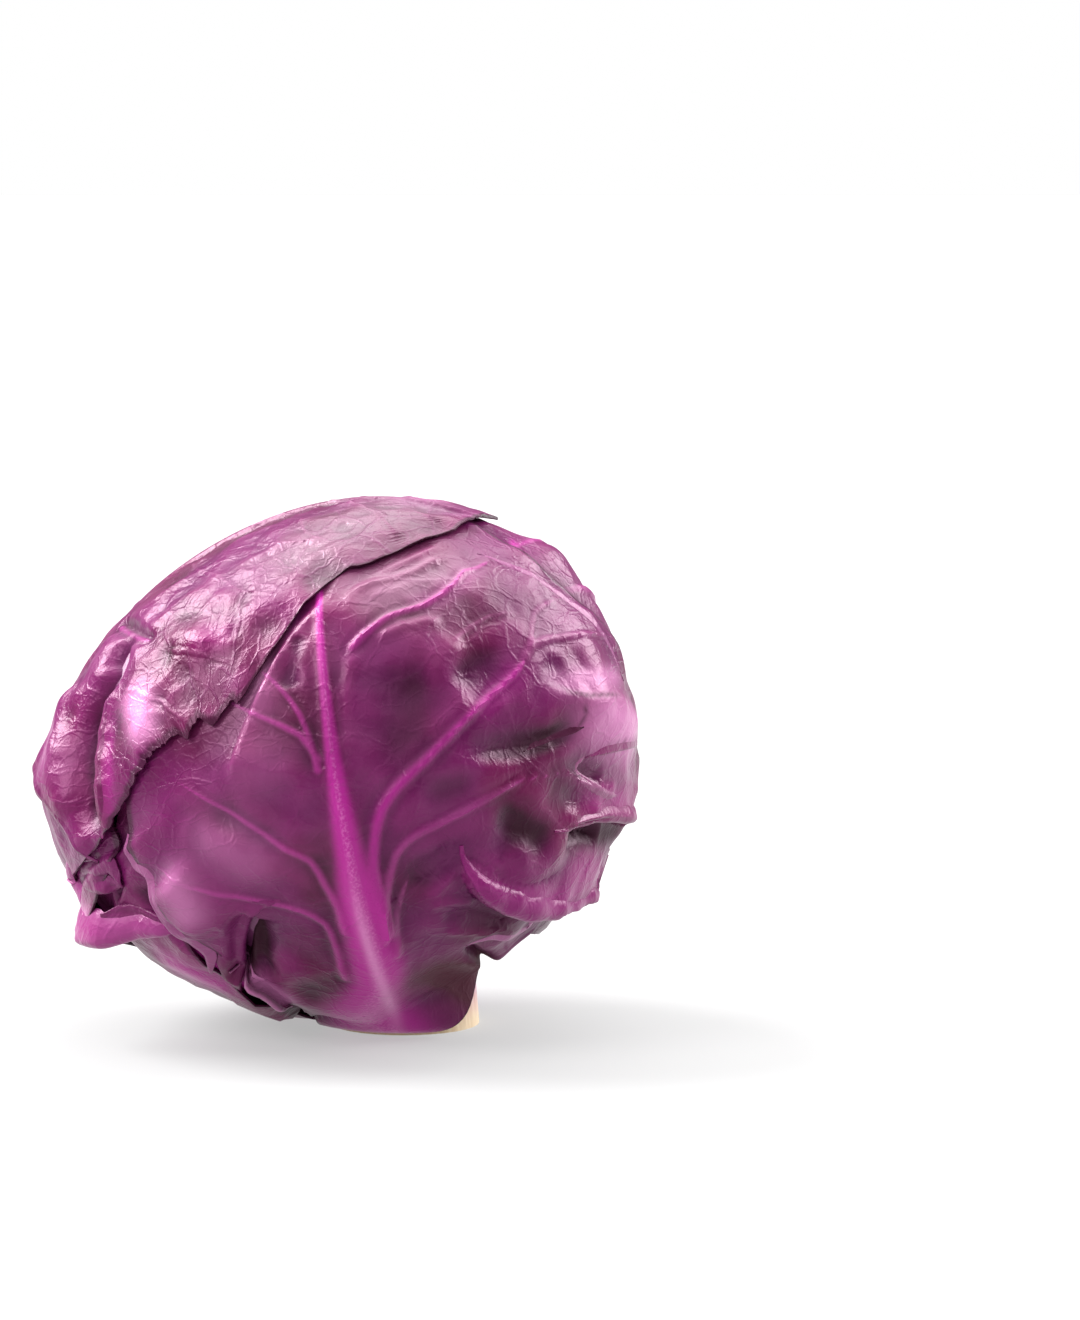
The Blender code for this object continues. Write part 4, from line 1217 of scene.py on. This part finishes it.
# Low left leaf. A wrapper leaf low on the left, under the back left one. It grows from the stem,
# and its free margin is crumpled into folds, with a bulge and a dark hollow over it.
left_low_leaf = Leaf(
    "leaf_left_low",
    -120,
    25,
    foot=(-40, 0, 35),
    neck=None,
    left=[(40, -24), (70, -30), (100, -30), (128, -14)],
    right=[(36, 18), (50, 28), (58, 40), (64, 52), (73, 64), (90, 68), (106, 58), (128, 20)],
    midrib=[(50, 8), (75, 16), (100, 16), (128, 2)],
    ribs=[
        (36, 44, 44), (50, 62, 57), (62, 80, 65), (76, 94, 76), (88, 104, 90), (100, 113, 104),
        (113, 122, 117),
    ],
)
left_low_lines = rib_lines(left_low_leaf, 0.8)
left_low_lines += [
    # The bulge low on the left and the hollow over it.
    Line("ridge", (92, 915, 115, 928, 150, 935), (7.0, 6.0), 4.0, fade=(0.2, 0.3)),
    Line("ridge", (108, 893, 125, 900, 145, 904, 168, 917), (3.4, 2.6), -5.0),
]
# Shade painted into the hollow over the bulge and low on the margin, a highlight painted on the bulge,
# and magenta low down.
left_low_paint = strokes(
    deep=(
        ((92, 888, 115, 898, 140, 902, 170, 918), (4.5, 3.6), 1.0),
        ((190, 955, 225, 985, 262, 1008), 2.5, 0.8),
    ),
    pale=(
        ((82, 900, 100, 912, 125, 925), 4.0, 0.6),
    ),
    magenta=(
        ((140, 952, 180, 968, 250, 1000), (7.0, 5.0), 0.8),
    ),
)
left_low_dents = ((66, -66, 11, 4.8),)
left_low_blade = Blade(left_low_leaf, outer_skin, left_low_lines, left_low_dents, midrib=0.2,
                       paint=left_low_paint, rib_tone=0.0)
lay_leaf(left_low_blade, 130, (50, 81))

# The folds at the top of its margin, and the bulge with the rim of the hollow over it.
# The bulge is magenta with a faint painted highlight.
LEFT_LOW_FOLDS = (
    ("fold", (72, 872, 90, 875, 105, 871, 122, 888), 3.0, LIP, {}),
    ("tuck", (86, 886, 105, 890, 122, 886), 2.2, LIP, {}),
    ("bulge", (64, 852, 66, 874, 74, 898, 92, 916, 122, 927, 155, 932, 185, 934), 6.0, ROLL,
     {"magenta": 0.3, "pale": 0.1}),
    ("rim", (170, 930, 158, 920, 140, 912, 122, 907, 112, 907), 2.4, LIP, {}),
)
for name, way, size, section, paint in LEFT_LOW_FOLDS:
    lay_fold("leaf_left_low_" + name, left_low_blade, way, size, section, **paint)

# Right leaf. A wrapper leaf round the right side, which shows past the front leaf at the upper
# right. It grows from the stem, and the front leaf lies on it.
right_leaf = plain_leaf("leaf_right", 95, 60, 172, 8, 34)
# Shade painted where it shows behind the front leaf's margin, and a magenta stripe.
right_paint = strokes(
    deep=(
        ((490, 540, 530, 560, 570, 590, 600, 620), 5.0, 0.9),
    ),
    magenta=(
        ((517, 530, 520, 545, 524, 560), (1.2, 1.0), 0.8),
    ),
)
right_dents = ((134, 82, 10, 4.8), (124, 92, 9, 2.0))
right_blade = Blade(right_leaf, outer_skin, rib_lines(right_leaf, 1.0), right_dents, midrib=0.4,
                    paint=right_paint, rib_tone=0.3)
lay_leaf(right_blade, 140, (66, 65))

# Middle left leaf. A wrapper leaf under the low left one, of the same flesh and grown from the
# stem like it. Only a strip of it shows, brighter magenta than the leaves outside it.
left_mid_leaf = Leaf(
    "leaf_left_mid",
    -92,
    26,
    foot=(-45, 5, 50),
    neck=None,
    left=[(40, -22), (70, -28), (100, -26), (120, -14)],
    right=[(36, 33), (46, 38), (62, 45), (85, 49), (104, 42), (120, 18)],
    midrib=[(60, 10), (90, 11), (120, 2)],
    ribs=even_ribs(26, 120, 6),
)
left_mid_paint = strokes(
    magenta=(
        ((140, 950, 180, 970, 250, 1000), (12.0, 9.0), 0.9),
    ),
)
left_mid_dents = ((34, -50, 10, 3.0),)
left_mid_blade = Blade(left_mid_leaf, outer_skin, (), left_mid_dents, midrib=0.2,
                       paint=left_mid_paint, rib_tone=0.0)
lay_leaf(left_mid_blade, 110, (50, 61))

# Back right leaf. A low wrapper leaf at the right and back, of the same flesh and grown from the
# stem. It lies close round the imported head, under the back leaf and the right one.
back_right_leaf = plain_leaf("leaf_back_right", 134, 42, 104, 6, 26)
back_right_blade = Blade(back_right_leaf, outer_skin, rib_lines(back_right_leaf, 1.0), midrib=0.3)
lay_leaf(back_right_blade, 100, (50, 51))

# Base left leaf. The lowest wrapper leaf, at the lower left and nearest the surface. It grows from
# the stem's foot, under all the other leaves.
left_base_leaf = plain_leaf("leaf_left_base", -46, 38, 82, 5, 27)
left_base_blade = Blade(left_base_leaf, outer_skin, rib_lines(left_base_leaf, 1.0), midrib=0.3)
lay_leaf(left_base_blade, 90, (50, 51))

# Cut stem. The pale butt left by the knife, which the head stands on: crisp cream flesh with
# darker fibres up its side, turning pink under the leaves that grow from it.
STEM_FLESH = {
    "Roughness": 0.5,
    "Subsurface Weight": 0.15,
    "Subsurface Radius": (1.0, 0.6, 0.4),
    "Subsurface Scale": 3.0 * MM,
}
stem_flesh, stem_shader = new_material("cut stem flesh", STEM_FLESH)
stem_place = add_node(stem_flesh, "ShaderNodeTexCoord", {}, "Object")
# Fibres 1 mm apart, drawn out eightfold along the stem, and blotches 7 mm large.
scaled = {"operation": "MULTIPLY"}
along_stem = add_node(stem_flesh, "ShaderNodeVectorMath", scaled, 0, i0=stem_place, i1=(1.0, 1.0, 0.12))
fibres = add_node(stem_flesh, *NOISE, Vector=along_stem, Scale=900.0, Detail=4.0)
blotches = add_node(stem_flesh, *NOISE, Vector=stem_place, Scale=150.0, Detail=3.0)
stem_height = add_node(stem_flesh, "ShaderNodeSeparateXYZ", {}, "Z", i0=stem_place)
stem_height = add_node(stem_flesh, *TIMES_PLUS, i0=blotches, i1=6.0 * MM, i2=stem_height)
pink = add_node(stem_flesh, *RAMP, i0=stem_height, i1=5.0 * MM, i2=14.0 * MM, i3=0.0, i4=0.8)
stem_colour = add_node(stem_flesh, *MIX, i0=fibres, i6=linear("#f0dfc4"), i7=linear("#d3b184"))
stem_colour = add_node(stem_flesh, *MIX, i0=pink, i6=stem_colour, i7=linear("#c98aae"))
stem_flesh.node_tree.links.new(stem_colour, stem_shader.inputs["Base Color"])
stem_relief = add_node(stem_flesh, "ShaderNodeBump", {}, 0, Strength=0.6, Distance=0.2 * MM,
                       Height=fibres)
stem_flesh.node_tree.links.new(stem_relief, stem_shader.inputs["Normal"])
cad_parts["stem"].data.materials.clear()
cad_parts["stem"].data.materials.append(stem_flesh)

# Inner head. The tight young leaves inside, wrapped round the stem's top: smoother and paler
# than the outer ones, with fine streaks.
inner_skin, inner_shader = new_material("packed inner leaves", {"Roughness": 0.4})
inner_place = add_node(inner_skin, "ShaderNodeTexCoord", {}, "Object")
# Streaks 9 mm apart.
streaks = add_node(inner_skin, *NOISE, Vector=inner_place, Scale=110.0, Detail=5.0, Distortion=0.6)
inner_colour = add_node(inner_skin, *MIX, i0=streaks, i6=linear("#4a1238"), i7=linear("#8b3f78"))
inner_skin.node_tree.links.new(inner_colour, inner_shader.inputs["Base Color"])
inner_relief = add_node(inner_skin, "ShaderNodeBump", {}, 0, Strength=0.5, Distance=0.3 * MM,
                        Height=streaks)
inner_skin.node_tree.links.new(inner_relief, inner_shader.inputs["Normal"])
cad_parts["inner_head"].data.materials.clear()
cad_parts["inner_head"].data.materials.append(inner_skin)
